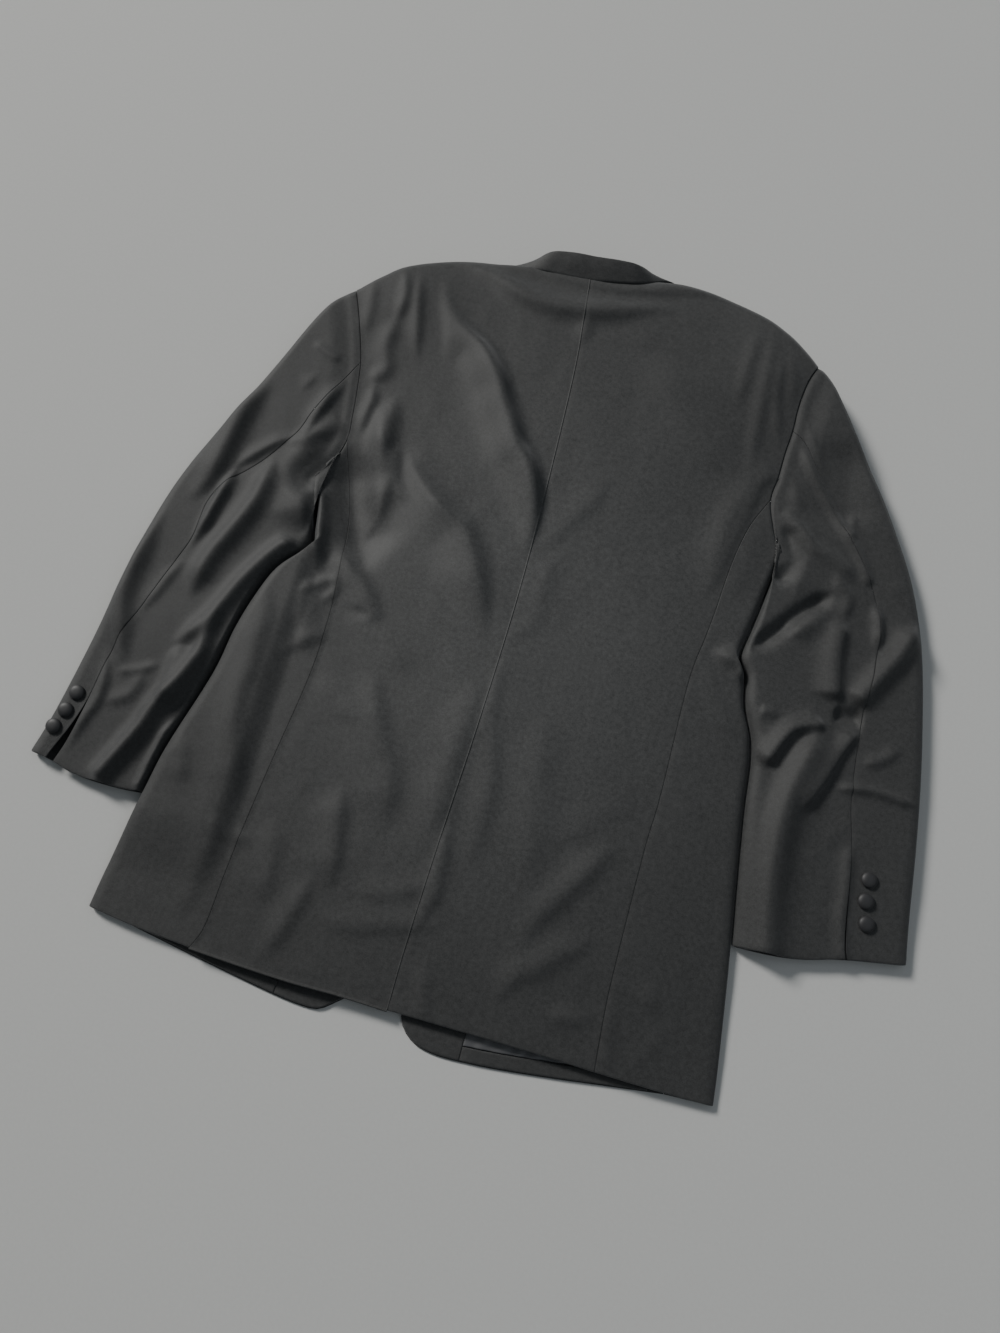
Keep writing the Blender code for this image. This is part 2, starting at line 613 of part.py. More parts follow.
def front_inside(side):
    """Facing, hem turn-up and lining, where they show past the back's hem."""
    hem = side.lines["front_hem"].length
    edge = side.lines["front_edge"].length
    seam = 1 - FACING_WIDTH / hem
    gap = SEAM_GAP / 2 / hem
    start, turn_up, top = CUT_INSET / edge, HEM_SHOWING / edge, LINING_TOP / edge
    facing = np.append(np.linspace(seam + gap, 1 - FACING_INSET / hem, 6), 1 - CUT_INSET / hem)
    turned_up = np.linspace(HEM_START, seam - gap, 9)
    lining = np.linspace(side.table["lining_start"], seam - gap, 7)
    on_front(side, "facing", facing, np.linspace(start, top, 9), materials["wool"])
    on_front(side, "hem_turn_up", turned_up, (start, turn_up - gap), materials["wool"])
    on_front(side, "lining", lining, np.linspace(turn_up + gap, top, 6), materials["lining"])


def lapel(side):
    """The folded-out lapel, flat on the surface under the front."""
    lines = side.lines
    roll = lines["front_edge"]
    start, end = roll.mark(LAPEL_START), roll.mark(LAPEL_END) - GORGE_DROP
    rows = np.linspace(0, 1, LAPEL_ROWS)[:, None]
    across = np.array(LAPEL_COLUMNS)[None, :, None]
    plan = roll.part(start, end)(rows) * (1 - across) + lines["lapel_edge"](rows) * across
    outer = np.concatenate([plan, np.zeros(plan.shape[:-1] + (1,))], -1)
    normal = np.broadcast_to([0.0, 0.0, -1.0], outer.shape)
    return sheet(f"lapel_{side.name}", outer, normal, LAPEL_WALL, materials["satin"])


def sleeve(side):
    """Top sleeve and under sleeve, parted by the hind-arm seam and the forearm seam; returns
    the top sleeve, which carries the buttons."""
    lines, arm = side.lines, side.lines["armhole"]
    turn = len(ROLL_STEPS)
    v = np.linspace(0, 1, SLEEVE_ROWS + 1)[:, None]
    v[0] = 1.5 * SEAM_GAP / lines["sleeve_outer"].length
    outer_line = lines["sleeve_outer"]
    inner_line = eased(lines["sleeve_inner"], INNER_EASE)
    seam_line = eased(lines["hind_seam"], HIND_EASE)
    cuff = lines["cuff"]
    cuff_seam = cuff.mark(1)
    outer_edge, inner_edge, seam = outer_line(v[:, 0]), inner_line(v[:, 0]), seam_line(v[:, 0])
    length = arm.length

    def flat_shares(marks, start, end):
        return np.abs(marks - start) / abs(end - start)

    def upper(edge, edge_line, mark_edge, marks, cuff_end):
        """The upper layer between a folded edge and the hind-arm seam."""
        chord = np.linalg.norm(seam - edge, axis=-1)
        along = abs(side.hind_mark - mark_edge)
        width = (chord + (along - chord[0]) * (1 - v[:, 0]))[:, None]
        u, reach = folded_columns(width, ROLL_TOP, marks)
        vent = side.table["vent"] / 2 * smooth((v[:, 0] - 1 + VENT_LENGTH) / VENT_LENGTH)
        u[:, -1] -= (SEAM_GAP / 2 + vent) / width[:, 0]
        low = arm.part(mark_edge, side.hind_mark)
        high = cuff.part(cuff_end, cuff_seam)
        plan = patch(u, v, low, high, edge_line, seam_line)
        outward = unit(edge - plan[:, turn])[:, None]
        return layer(plan, edge[:, None], reach, side.sleeve_top, level, True, outward)

    head = side.upper_marks[turn + SIDE_CELLS + SEAM_CELLS: -turn][::-1]
    below = side.upper_marks[turn: turn + SIDE_CELLS + SEAM_CELLS + 1]
    top_upper = upper(outer_edge, outer_line, length, flat_shares(head, head[0], head[-1]), 0)
    under_upper = upper(inner_edge, inner_line, 0, flat_shares(below, below[0], below[-1]), cuff.length)

    # the lower layer, from the outer edge across to the inner edge
    marks = side.lower_marks[::-1]
    chord = np.linalg.norm(inner_edge - outer_edge, axis=-1)
    width = (chord + (length - chord[0]) * (1 - v[:, 0]))[:, None]
    reach = ROLL_UNDER
    flat = (length - marks[turn:-turn] - reach) / (length - 2 * reach)
    roll = reach * np.array(ROLL_STEPS)[None, :] / width
    middle = reach / width + (1 - 2 * reach / width) * flat[None, :]
    u = np.hstack([roll, middle, 1 - roll[:, ::-1]])
    shape = (arm.part(length, 0), cuff, outer_line, inner_line)
    plan = patch(u, v, *shape)
    split = turn + HEAD_CELLS + SEAM_CELLS - 1
    outward_outer = unit(outer_edge - plan[:, turn])[:, None]
    outward_inner = unit(inner_edge - plan[:, -1 - turn])[:, None]
    gap = SEAM_GAP / 2 / width
    forearm = u[:, split: split + 1]
    top_u = np.hstack([u[:, :split], forearm - gap])
    under_u = np.hstack([forearm + gap, u[:, split + 1:]])
    lower = []
    for shares, edge, outward in (
        (top_u, outer_edge, outward_outer), (under_u, inner_edge, outward_inner),
    ):
        plan = patch(shares, v, *shape)
        lower.append(layer(plan, edge[:, None], reach, side.sleeve_top, level, False, outward))

    pieces = []
    for name, above, beneath in (
        ("top_sleeve", top_upper, lower[0]),
        ("under_sleeve", under_upper, [part[:, ::-1] for part in lower[1]]),
    ):
        outer, normal = (np.concatenate([a[:, ::-1], b[:, 1:]], 1) for a, b in zip(above, beneath))
        pieces.append(sheet(f"{name}_{side.name}", outer, normal, SLEEVE_WALL, materials["wool"]))
    return pieces[0]


def collar():
    """Stand and leaf in one folded strip, from under one front round the neck to the other."""
    every = Line.STEPS // COLLAR_CELLS
    foot, fold, edge = (
        Line([getattr(section, part) for section in COLLAR_SECTIONS]).dense[::every]
        for part in ("foot", "fold", "edge")
    )
    rows = np.arange(len(fold)) / COLLAR_CELLS
    puff = np.interp(rows, range(len(COLLAR_SECTIONS)), [section.puff for section in COLLAR_SECTIONS])
    stand, leaf = (foot + fold) / 2, fold + LEAF_BEND * (edge - fold)
    apart = COLLAR_PUFF * unit(leaf - stand + (0, 0, 1e-6)) * puff[:, None]
    outer = np.stack([foot, stand - apart, fold, leaf + apart, edge], 1)
    outer[..., 2] = np.maximum(outer[..., 2], 0)
    normal = unit(np.cross(np.gradient(outer, axis=1), np.gradient(outer, axis=0)))
    return sheet("collar", outer, normal, LAPEL_WALL, materials["wool"])


def cuff_button(side, number, place, cloth):
    """A covered button, domed, seated on the sleeve's cloth."""
    x, y = (place[0] - FRAME_X) * MM, (place[1] - FRAME_Y) * MM
    mesh = cloth.data
    surface = BVHTree.FromPolygons(
        [vert.co for vert in mesh.vertices], [face.vertices for face in mesh.polygons]
    )
    point, normal, _, _ = surface.ray_cast(Vector((x, y, 1)), Vector((0, 0, -1)))
    mesh = bpy.data.meshes.new("cuff_button")
    dome = bmesh.new()
    bmesh.ops.create_uvsphere(
        dome, u_segments=BUTTON_SEGMENTS, v_segments=BUTTON_RINGS, radius=BUTTON_RADIUS * MM
    )
    bmesh.ops.scale(dome, vec=(1, 1, BUTTON_DEPTH / 2 / BUTTON_RADIUS), verts=dome.verts[:])
    dome.to_mesh(mesh)
    dome.free()
    mesh.shade_smooth()
    button = add_object(f"cuff_button_{side.name}_{number}", mesh, materials["satin"])
    button.location = point + normal * (BUTTON_DEPTH / 2 + SEAM_GAP) * MM
    button.rotation_euler = normal.to_track_quat("Z", "Y").to_euler()
    return button


def make_material(name, colour, roughness):
    material = bpy.data.materials.new(name)
    material.use_nodes = True
    shader = material.node_tree.nodes["Principled BSDF"]
    shader.inputs["Base Color"].default_value = (*colour, 1.0)
    shader.inputs["Roughness"].default_value = roughness
    shader.inputs["Metallic"].default_value = 0.0
    return material


for old in list(bpy.data.objects):
    bpy.data.objects.remove(old)
jacket = bpy.data.collections.new("tuxedo_jacket")
bpy.context.scene.collection.children.link(jacket)
materials = {name: make_material(name, *finish) for name, finish in COLOURS.items()}

for side in (Side("left", LEFT), Side("right", RIGHT)):
    back(side)
    side_panel(side)
    front(side)
    front_inside(side)
    lapel(side)
    top_sleeve = sleeve(side)
    for number, place in enumerate(side.table["buttons"], 1):
        cuff_button(side, number, place, top_sleeve)
collar()
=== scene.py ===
"""A man's tuxedo jacket laid flat with its back up: the cloth, folds, seams and finishes that
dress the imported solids.

Tables are in millimetres, in the garment's own frame: x runs from the wearer's left to the
wearer's right with 0 near the centre back, y from the back hem (0) up to the collar, z up from
the surface. Every panel is a fine grid of points between its boundary lines, raised by the
folds, pressed in at its seams and given the wall of its cloth.
"""

import math
from collections import namedtuple

import bmesh
import bpy
import numpy as np
from mathutils import Matrix, Vector


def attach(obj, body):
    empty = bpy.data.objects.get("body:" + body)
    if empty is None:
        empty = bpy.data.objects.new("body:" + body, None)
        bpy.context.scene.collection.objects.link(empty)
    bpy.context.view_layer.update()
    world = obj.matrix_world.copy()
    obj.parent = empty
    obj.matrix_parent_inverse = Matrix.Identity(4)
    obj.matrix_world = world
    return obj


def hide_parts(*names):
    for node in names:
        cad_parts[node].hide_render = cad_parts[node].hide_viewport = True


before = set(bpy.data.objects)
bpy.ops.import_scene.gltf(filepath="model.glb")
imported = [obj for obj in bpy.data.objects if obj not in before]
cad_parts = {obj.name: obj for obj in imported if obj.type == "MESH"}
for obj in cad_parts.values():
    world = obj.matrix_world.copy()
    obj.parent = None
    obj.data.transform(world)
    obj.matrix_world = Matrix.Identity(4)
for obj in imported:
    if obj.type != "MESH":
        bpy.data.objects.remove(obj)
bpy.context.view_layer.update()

bl_info = {
    "name": "Tuxedo jacket",
    "version": (1, 0, 0),
    "blender": (4, 5, 0),
    "location": "View3D > Sidebar > Tuxedo",
    "description": "Builds the cloth, collar and buttons of a tuxedo jacket laid flat",
    "category": "Object",
}

MM = 0.001
PLACE = np.array([18.0, 397.5, 0.0])  # garment point that stands over the frame's origin

# The jacket's own sizes, mm
SEAM_GAP = 0.25  # between two panels that are sewn together
FRONT_SEAM_GAP = 0.6  # the same where a front meets its side panel, underneath
ROLL_TOP = 12.0  # how far in from a folded edge the upper cloth starts to fall
ROLL_UNDER = 7.0  # the same for the cloth underneath
ROLL_MIDDLE = 0.4  # height of a folded edge, as a share of the height beside it
SLEEVE_LIFT = 7.0  # how far the left side is held up by the cuff half under it
LAPEL_LIFT = 2.6  # how far the chest is held up by the lapels under it
TUCKED_HEIGHT = 5.6  # the left sleeve's height where the body lies on it
FACING_WIDTH = 71.0  # along the front's hem, from the front edge
HEM_SHOWING = 13.0  # depth of the hem's turn-up that the lining leaves bare
LINING_TOP = 225.0  # how far up the front edge the facing and the lining are built
HEM_START = 0.06  # where the turn-up starts, as a share of the front's hem
CUT_INSET = 1.2  # inside pieces end this far in from the front's edges
INSIDE_CLEAR = 0.9  # and lie this far clear of its cloth
PLEAT_HEIGHT, PLEAT_STEP, PLEAT_RISE = 0.5, 2.6, 14  # the lining's pleats over its turn-up
LAPEL_WIDTH = 90  # the lapel at its widest, which sets its columns
INSIDE_CELL, TURN_UP_CELL, PLEAT_CELL, LINING_CELL = 4, 2.5, 1.4, 3  # their grids
GORGE_DROP = 20  # the lapel stops this far short of the roll line's last point
VENT_LENGTH = 0.13  # of the cuff vent, as a share of the hind-arm seam
NECK_BLEND = 0.06  # share of the back's width over which neck edge passes into shoulder edge
INNER_EASE, HIND_EASE = 1.5, 1.1  # rows of these sleeve lines crowd towards the armhole
SHOULDER_OPEN = 5e-6  # the last row stops this share short of the shoulder's folded edge
ROLL_CELLS = 11  # cells round a folded edge
CLOSE = (0.0, 0.35, 0.9, 1.7)  # stations beside a sewn or folded end
# the collar's leaf sinks this far at this distance from the centre, over this width
LEAF_SINK, LEAF_SINK_AT, LEAF_SINK_WIDE = 6.5, 84.0, 17.0
BODY_SOFT, SLEEVE_SOFT = 2.3, 1.6  # how far the cloth's stiffness spreads a fold
ARMHOLE_DEPTH = 4.0  # the armhole seams are this much deeper than the others
EASE, EASED = 8.0, 0.9  # how much wider and less deep the eased side of a seam is
EASE_TURN, EASE_FROM = 1.6, 0.3  # a side that faces left eases: how fast and from where
SEAM_RIDGE, RIDGE_AT, RIDGE_WIDE = 0.15, 5.5, 3.2  # allowances that show through beside a seam
FOLD_REACH = 2.4  # a fold is worked out as far off as this many of its widths
FOLD_STEPS = 6  # stretches between two of a fold's points
GRID_END = 1.001  # keeps a place inside the last cell of a grid

# Body heights up the centre back, and sleeve heights: y, height of the outer cloth
CROWN = (
    (-30, 11), (0, 11), (80, 13.5), (200, 16), (350, 17.5), (480, 19), (600, 24), (700, 30),
    (760, 31), (810, 26),
)
SLEEVE_CROWN = (
    (100, 10.6), (120, 11), (150, 12), (250, 16), (400, 18), (520, 21), (600, 25), (680, 31),
    (760, 34),
)
BODY_MIDDLE, BODY_HALF = 5, 290  # the crown line, and how far its fall to the sides reaches
SIDE_FALL = 0.22  # share of the height lost at the sides
# The padded shoulders: a mound MOUND_X to either side of MOUND_MIDDLE
MOUND_X, MOUND_Y, MOUND_WIDE, MOUND_LONG, MOUND_HEIGHT = 212, 728, 62, 66, 6.0
MOUND_MIDDLE = 8
# What lies underneath lifts the cloth over it: where each lift starts and where it is whole
TUCK_ACROSS, TUCK_BELOW, TUCK_ABOVE = (-188, -212), (55, 123), (456, 410)  # left cuff half
LAPEL_BELOW, LAPEL_ACROSS = (235, 295), (182, 155)  # the lapels
TUCK_TO_TOP = 0.9  # share of the lift that reaches the outer cloth
TUCK_EDGE, TUCK_SLOPE = 1.2, 3.0  # the tucked sleeve starts to rise this far out, this steeply
TUCK_END, TUCK_END_SLOPE = 430, 0.6  # and above this y, this steeply
HEAD_BLEND = 34  # over this distance from the armhole the sleeve leaves the body's height
END_WIDTH = 0.4  # how narrow a fold gets at its ends, as a share of its width
HEAD_ROLL, HEAD_AT, HEAD_WIDE = 0.9, 7.0, 5.0  # the sleeve head stands up beside the armhole seam

# A fold is a ridge, or a trough where its height is negative, along points; west and east are
# its half widths on either side of the way up, start and end the shares over which it fades.
Fold = namedtuple("Fold", "height west east points start end", defaults=(0.35, 0.35))
BODY_FOLDS = (
    Fold(14.2, 24, 8, (
        (-148, 732), (-135, 714), (-120, 698), (-106, 687), (-92, 677), (-79, 663), (-64, 642),
        (-52, 618), (-39, 596), (-27, 574), (-14, 559), (-5, 545), (2, 528), (8, 508), (11, 488),
        (10, 450)), 0.36, 0.32),
    Fold(1.7, 6, 15, ((-156, 758), (-140, 713), (-129, 684), (-121, 641))),
    Fold(3.1, 8, 4, ((-180, 753), (-169, 701), (-163, 675), (-155, 642))),
    Fold(3.2, 7, 5, ((-198, 752), (-188, 718), (-190, 679))),
    Fold(3.0, 10, 7, (
        (-189, 694), (-193, 655), (-188, 638), (-186, 629), (-191, 620), (-202, 615)), 0.3, 0.1),
    Fold(3.3, 7, 4, ((-195, 614), (-190, 591), (-192, 576), (-193, 546))),
    Fold(1.8, 8, 6, ((-228, 738), (-223, 700), (-219, 656))),
    Fold(5.7, 15, 9, ((-167, 604), (-165, 562), (-159, 521)), 0.41, 0.41),
    Fold(2.2, 10, 5, ((-148, 551), (-145, 520), (-136, 499), (-116, 483)), 0.29, 0.29),
    Fold(2.0, 12, 4, ((-145, 514), (-148, 472), (-158, 431)), 0.3, 0.3),
    Fold(6.8, 13, 15, ((-180, 586), (-163, 527), (-155, 490), (-139, 443))),
    Fold(2.8, 9, 20, ((-148, 554), (-119, 518), (-95, 495), (-67, 466)), 0.31, 0.31),
    Fold(7.6, 29, 11, (
        (-144, 541), (-113, 507), (-87, 485), (-62, 473), (-48, 454), (-35, 429), (-21, 399),
        (-8, 356))),
    Fold(-11.5, 19, 30, (
        (-201, 540), (-187, 495), (-175, 465), (-163, 440), (-152, 416), (-143, 396)), 0.3, 0.3),
    Fold(9.0, 9, 9, ((-223, 486), (-213, 461), (-204, 436), (-197, 411), (-187, 384)), 0.15, 0.3),
    Fold(4.4, 18, 8, (
        (-180, 435), (-158, 400), (-144, 388), (-133, 375), (-124, 363), (-122, 358), (-140, 342)
    ), 0.3, 0.4),
    Fold(3.2, 7, 16, ((-198, 385), (-190, 335), (-172, 300)), 0.31, 0.31),
    Fold(2.6, 6, 5, ((-204, 362), (-184, 378), (-168, 388))),
    Fold(2.0, 5, 4, ((-175, 398), (-167, 374), (-181, 356))),
    Fold(1.5, 8, 5, ((-204, 295), (-180, 317), (-156, 329)), 0.29, 0.29),
    Fold(2.5, 20, 9, (
        (-239, 374), (-226, 328), (-227, 304), (-224, 280), (-226, 254), (-224, 226), (-218, 200),
        (-208, 179), (-202, 162), (-205, 131)), 0.2, 0.2),
    Fold(1.4, 13, 17, (
        (-233, 358), (-230, 296), (-225, 238), (-220, 174), (-218, 100), (-214, 48)), 0.2, 0.3),
    Fold(1.4, 5, 7, ((-218, 129), (-198, 115), (-167, 114)), 0.26, 0.26),
    Fold(1.2, 13, 7, ((-205, 117), (-210, 70), (-215, 29)), 0.28, 0.28),
    Fold(2.0, 12, 9, ((-271, 203), (-260, 172), (-253, 141)), 0.39, 0.39),
    Fold(1.6, 10, 16, ((-155, 355), (-116, 339), (-94, 326), (-66, 300)), 0.34, 0.34),
    Fold(3.5, 29, 12, (
        (-108, 309), (-90, 255), (-80, 233), (-69, 216), (-60, 193), (-53, 145)), 0.3, 0.3),
    Fold(1.6, 14, 11, ((-162, 290), (-128, 264), (-99, 245)), 0.4, 0.4),
    Fold(3.6, 19, 8, ((-104, 190), (-96, 144), (-86, 87)), 0.33, 0.33),
    Fold(1.9, 17, 9, ((-159, 148), (-148, 102), (-146, 54)), 0.33, 0.33),
    Fold(2.2, 13, 7, ((-102, 103), (-117, 50), (-132, 9))),
    Fold(1.8, 16, 7, ((-98, 61), (-58, 62), (-38, 68), (-16, 74), (-7, 76), (33, 84))),
    Fold(1.4, 12, 7, ((-71, 93), (-32, 99), (-17, 106), (12, 121))),
    Fold(3.4, 22, 12, ((-2, 334), (-6, 266), (-8, 228), (-10, 128))),
    Fold(2.7, 11, 6, ((6, 190), (8, 132), (10, 112), (-1, 70))),
    Fold(2.0, 15, 9, (
        (20, 358), (15, 310), (19, 280), (27, 254), (33, 227), (34, 200), (35, 168), (32, 118))),
    Fold(2.4, 20, 17, ((69, 323), (76, 239), (85, 189), (88, 106))),
    Fold(1.5, 10, 7, ((15, 55), (30, -11)), 0.33, 0.33),
    Fold(1.0, 19, 12, ((176, 261), (146, 222), (122, 198), (85, 173))),
    Fold(3.5, 16, 9, ((168, 203), (140, 160), (120, 131), (106, 109), (94, 74))),
    Fold(2.8, 15, 9, ((169, 113), (131, 82), (114, 67), (99, 56), (82, 23))),
    Fold(2.1, 9, 7, ((130, 30), (180, 37)), 0.39, 0.39),
    Fold(1.4, 11, 9, ((220, 87), (223, 48)), 0.5, 0.5),
    Fold(1.2, 10, 6, ((187, 65), (193, 26), (200, -16))),
    Fold(0.7, 9, 6, ((248, 48), (210, -2)), 0.32, 0.32),
    Fold(3.0, 26, 32, (
        (67, 697), (113, 678), (136, 655), (152, 638), (171, 624), (218, 603)), 0.3, 0.3),
    Fold(1.4, 21, 8, ((80, 574), (59, 524), (41, 499), (22, 455))),
    Fold(1.2, 13, 9, ((43, 483), (35, 434), (37, 404), (33, 387), (5, 358))),
    Fold(1.6, 8, 6, ((195, 780), (190, 718), (186, 663))),
    Fold(2.5, 9, 6, ((210, 784), (212, 731), (213, 685), (213, 647), (216, 588))),
    Fold(2.6, 7, 4, ((223, 752), (226, 696), (233, 667), (243, 635))),
    Fold(1.5, 7, 5, ((232, 761), (239, 721), (246, 682))),
    Fold(3.2, 25, 6, (
        (248, 608), (230, 598), (224, 581), (220, 556), (213, 531), (207, 501), (201, 476),
        (187, 448)), 0.1, 0.35),
    Fold(1.4, 13, 8, ((223, 598), (204, 553), (199, 521), (199, 476))),
    Fold(1.4, 10, 16, ((240, 576), (229, 519), (218, 461)), 0.26, 0.26),
    Fold(6.2, 8, 12, ((211, 404), (240, 399), (253, 384)), 0.48, 0.1),
    Fold(0.9, 12, 6, ((211, 394), (229, 356), (256, 321)), 0.29, 0.29),
    Fold(7.1, 15, 11, (
        (-161, 776), (-109, 768), (-79, 756), (-55, 747), (-31, 744), (-7, 745), (17, 749),
        (46, 756), (66, 764), (113, 778))),
    Fold(3.6, 12, 6, (
        (-119, 779), (-73, 784), (-30, 782), (2, 782), (35, 783), (68, 791), (110, 802), (165, 807)
    ), 0.2, 0.3),
    Fold(1.8, 9, 7, ((14, 747), (9, 702)), 0.45, 0.45),
)
LEFT_SLEEVE_FOLDS = (
    Fold(1.8, 4, 5, ((-271, 641), (-252, 630), (-236, 626)), 0.28, 0.1),
    Fold(4.5, 9, 5, ((-220, 612), (-238, 570), (-244, 549), (-248, 526))),
    Fold(1.4, 8, 4, ((-254, 607), (-268, 578)), 0.5, 0.5),
    Fold(5.5, 11, 10, ((-210, 558), (-233, 537), (-264, 517)), 0.1, 0.35),
    Fold(3.4, 8, 4, ((-254, 533), (-282, 508), (-311, 476))),
    Fold(8.9, 16, 12, (
        (-298, 591), (-317, 547), (-322, 521), (-326, 491), (-332, 457), (-347, 429))),
    Fold(7.0, 6, 6, ((-304, 487), (-311, 451), (-315, 431), (-318, 413), (-326, 380))),
    Fold(8.5, 11, 11, (
        (-270, 503), (-272, 466), (-275, 447), (-282, 425), (-291, 402), (-299, 382), (-304, 361),
        (-308, 329)), 0.2, 0.2),
    Fold(7.8, 9, 9, (
        (-222, 419), (-234, 405), (-246, 388), (-261, 360), (-273, 330), (-286, 304), (-309, 278)
    ), 0.08, 0.2),
    Fold(10.3, 9, 9, (
        (-272, 339), (-276, 299), (-278, 273), (-288, 242), (-302, 217), (-309, 193), (-322, 163),
        (-332, 141)), 0.35, 0),
    Fold(4.5, 4, 4, ((-280, 212), (-287, 180), (-293, 138)), 0.3, 0),
    Fold(2.0, 8, 4, ((-353, 300), (-342, 326), (-336, 343), (-323, 374))),
    Fold(7.0, 11, 11, (
        (-362, 424), (-370, 380), (-374, 341), (-373, 312), (-364, 284), (-354, 260), (-342, 235))),
    Fold(1.8, 5, 4, ((-354, 239), (-332, 246), (-311, 258)), 0.27, 0.27),
    Fold(1.9, 8, 5, ((-325, 250), (-328, 227), (-335, 217), (-356, 206)), 0.27, 0.27),
    Fold(3.4, 8, 4, ((-371, 264), (-361, 234), (-359, 215), (-361, 201), (-366, 186), (-373, 149))),
    Fold(4.8, 7, 14, ((-299, 286), (-298, 250), (-298, 214)), 0.27, 0.27),
    Fold(9.0, 24, 9, ((-219, 534), (-231, 503), (-232, 478), (-225, 450), (-217, 425)), 0.25, 0.25),
)
RIGHT_SLEEVE_FOLDS = (
    Fold(0.7, 8, 10, ((277, 698), (288, 683), (305, 681)), 0.5, 0.5),
    Fold(1.9, 7, 4, ((252, 702), (262, 671), (272, 653), (282, 638), (297, 608))),
    Fold(4.1, 5, 5, (
        (251, 662), (274, 626), (290, 604), (308, 580), (324, 560), (338, 541), (348, 523),
        (355, 506)), 0.2, 0.05),
    Fold(2.6, 5, 4, ((328, 587), (329, 551)), 0.31, 0.31),
    Fold(1.7, 8, 5, ((250, 642), (263, 598), (279, 562))),
    Fold(4.9, 9, 8, ((252, 571), (280, 548), (297, 535), (316, 528), (344, 509)), 0.1, 0.2),
    Fold(-11.2, 9, 8, ((262, 556), (267, 532), (269, 508), (266, 484)), 0.15, 0.25),
    Fold(1.2, 6, 5, ((291, 540), (287, 501), (280, 468))),
    Fold(3.4, 9, 4, ((316, 515), (333, 499), (338, 488), (334, 464)), 0.27, 0.27),
    Fold(-8.4, 7, 8, (
        (322, 494), (304, 478), (288, 461), (274, 443), (262, 428), (250, 412)), 0.15, 0.2),
    Fold(4.6, 14, 10, ((318, 470), (300, 452), (285, 436)), 0.3, 0.3),
    Fold(7.5, 15, 7, ((335, 470), (334, 430), (337, 404), (340, 382)), 0.2, 0.1),
    Fold(-7.3, 8, 10, ((340, 372), (354, 371), (370, 374)), 0.2, 0.2),
    Fold(9.4, 11, 10, ((358, 382), (373, 408), (384, 426), (396, 448), (408, 484)), 0.1, 0.2),
    Fold(5.7, 6, 4, ((362, 496), (371, 469), (372, 438))),
    Fold(0.7, 9, 8, ((376, 523), (387, 502)), 0.5, 0.5),
    Fold(3.0, 7, 5, ((373, 325), (393, 336), (411, 353)), 0.31, 0.31),
    Fold(4.6, 4, 4, ((351, 298), (383, 304), (403, 303), (434, 300)), 0.2, 0.2),
    Fold(5.9, 11, 4, ((368, 362), (354, 334), (347, 316), (339, 296), (324, 265)), 0.15, 0.2),
    Fold(9.4, 10, 6, ((337, 358), (308, 347), (297, 333), (290, 318), (282, 303)), 0.16, 0.1),
    Fold(3.1, 6, 6, ((271, 357), (293, 356)), 0.1, 0.5),
    Fold(11.6, 13, 17, (
        (338, 366), (322, 318), (313, 287), (308, 256), (307, 225), (308, 194), (312, 158),
        (315, 137)), 0.2, 0),
    Fold(0.6, 8, 6, ((381, 281), (358, 252), (346, 230), (331, 206))),
    Fold(3.3, 7, 4, ((376, 254), (379, 207), (380, 178), (386, 149)), 0.2, 0),
    Fold(-6.0, 42, 24, ((316, 672), (312, 630), (315, 590), (325, 550)), 0.3, 0.3),
)

# Uneven cloth: cell in mm, height in mm, stretch along y, seed
UNEVEN = ((96, 0.75, 1.7, 3), (41, 0.42, 1.5, 8), (17, 0.2, 1.3, 5), (8, 0.07, 1.2, 12))
COLLAR_UNEVEN = ((24, 0.45, 1, 21), (9, 0.2, 1, 22))
FACING_UNEVEN, TURN_UP_UNEVEN = ((22, 0.3, 1.5, 9),), ((18, 0.25, 1, 2),)
LINING_UNEVEN, PLEAT_UNEVEN = ((16, 0.4, 2, 6),), ((20, 1.6, 1, 4),)
# the grid of those values: its turn from the axes, its shift and its size before it repeats
DRIFT_COS, DRIFT_SIN, DRIFT_SHIFT, DRIFT_SIZE = 0.94, 0.34, 200, 64

CENTRE_BACK = (
    (-6, 0), (-5, 50), (-1, 130), (3, 200), (8, 280), (13, 400), (14, 500), (13, 600), (11, 680),
    (7, 735), (2, 794),
)
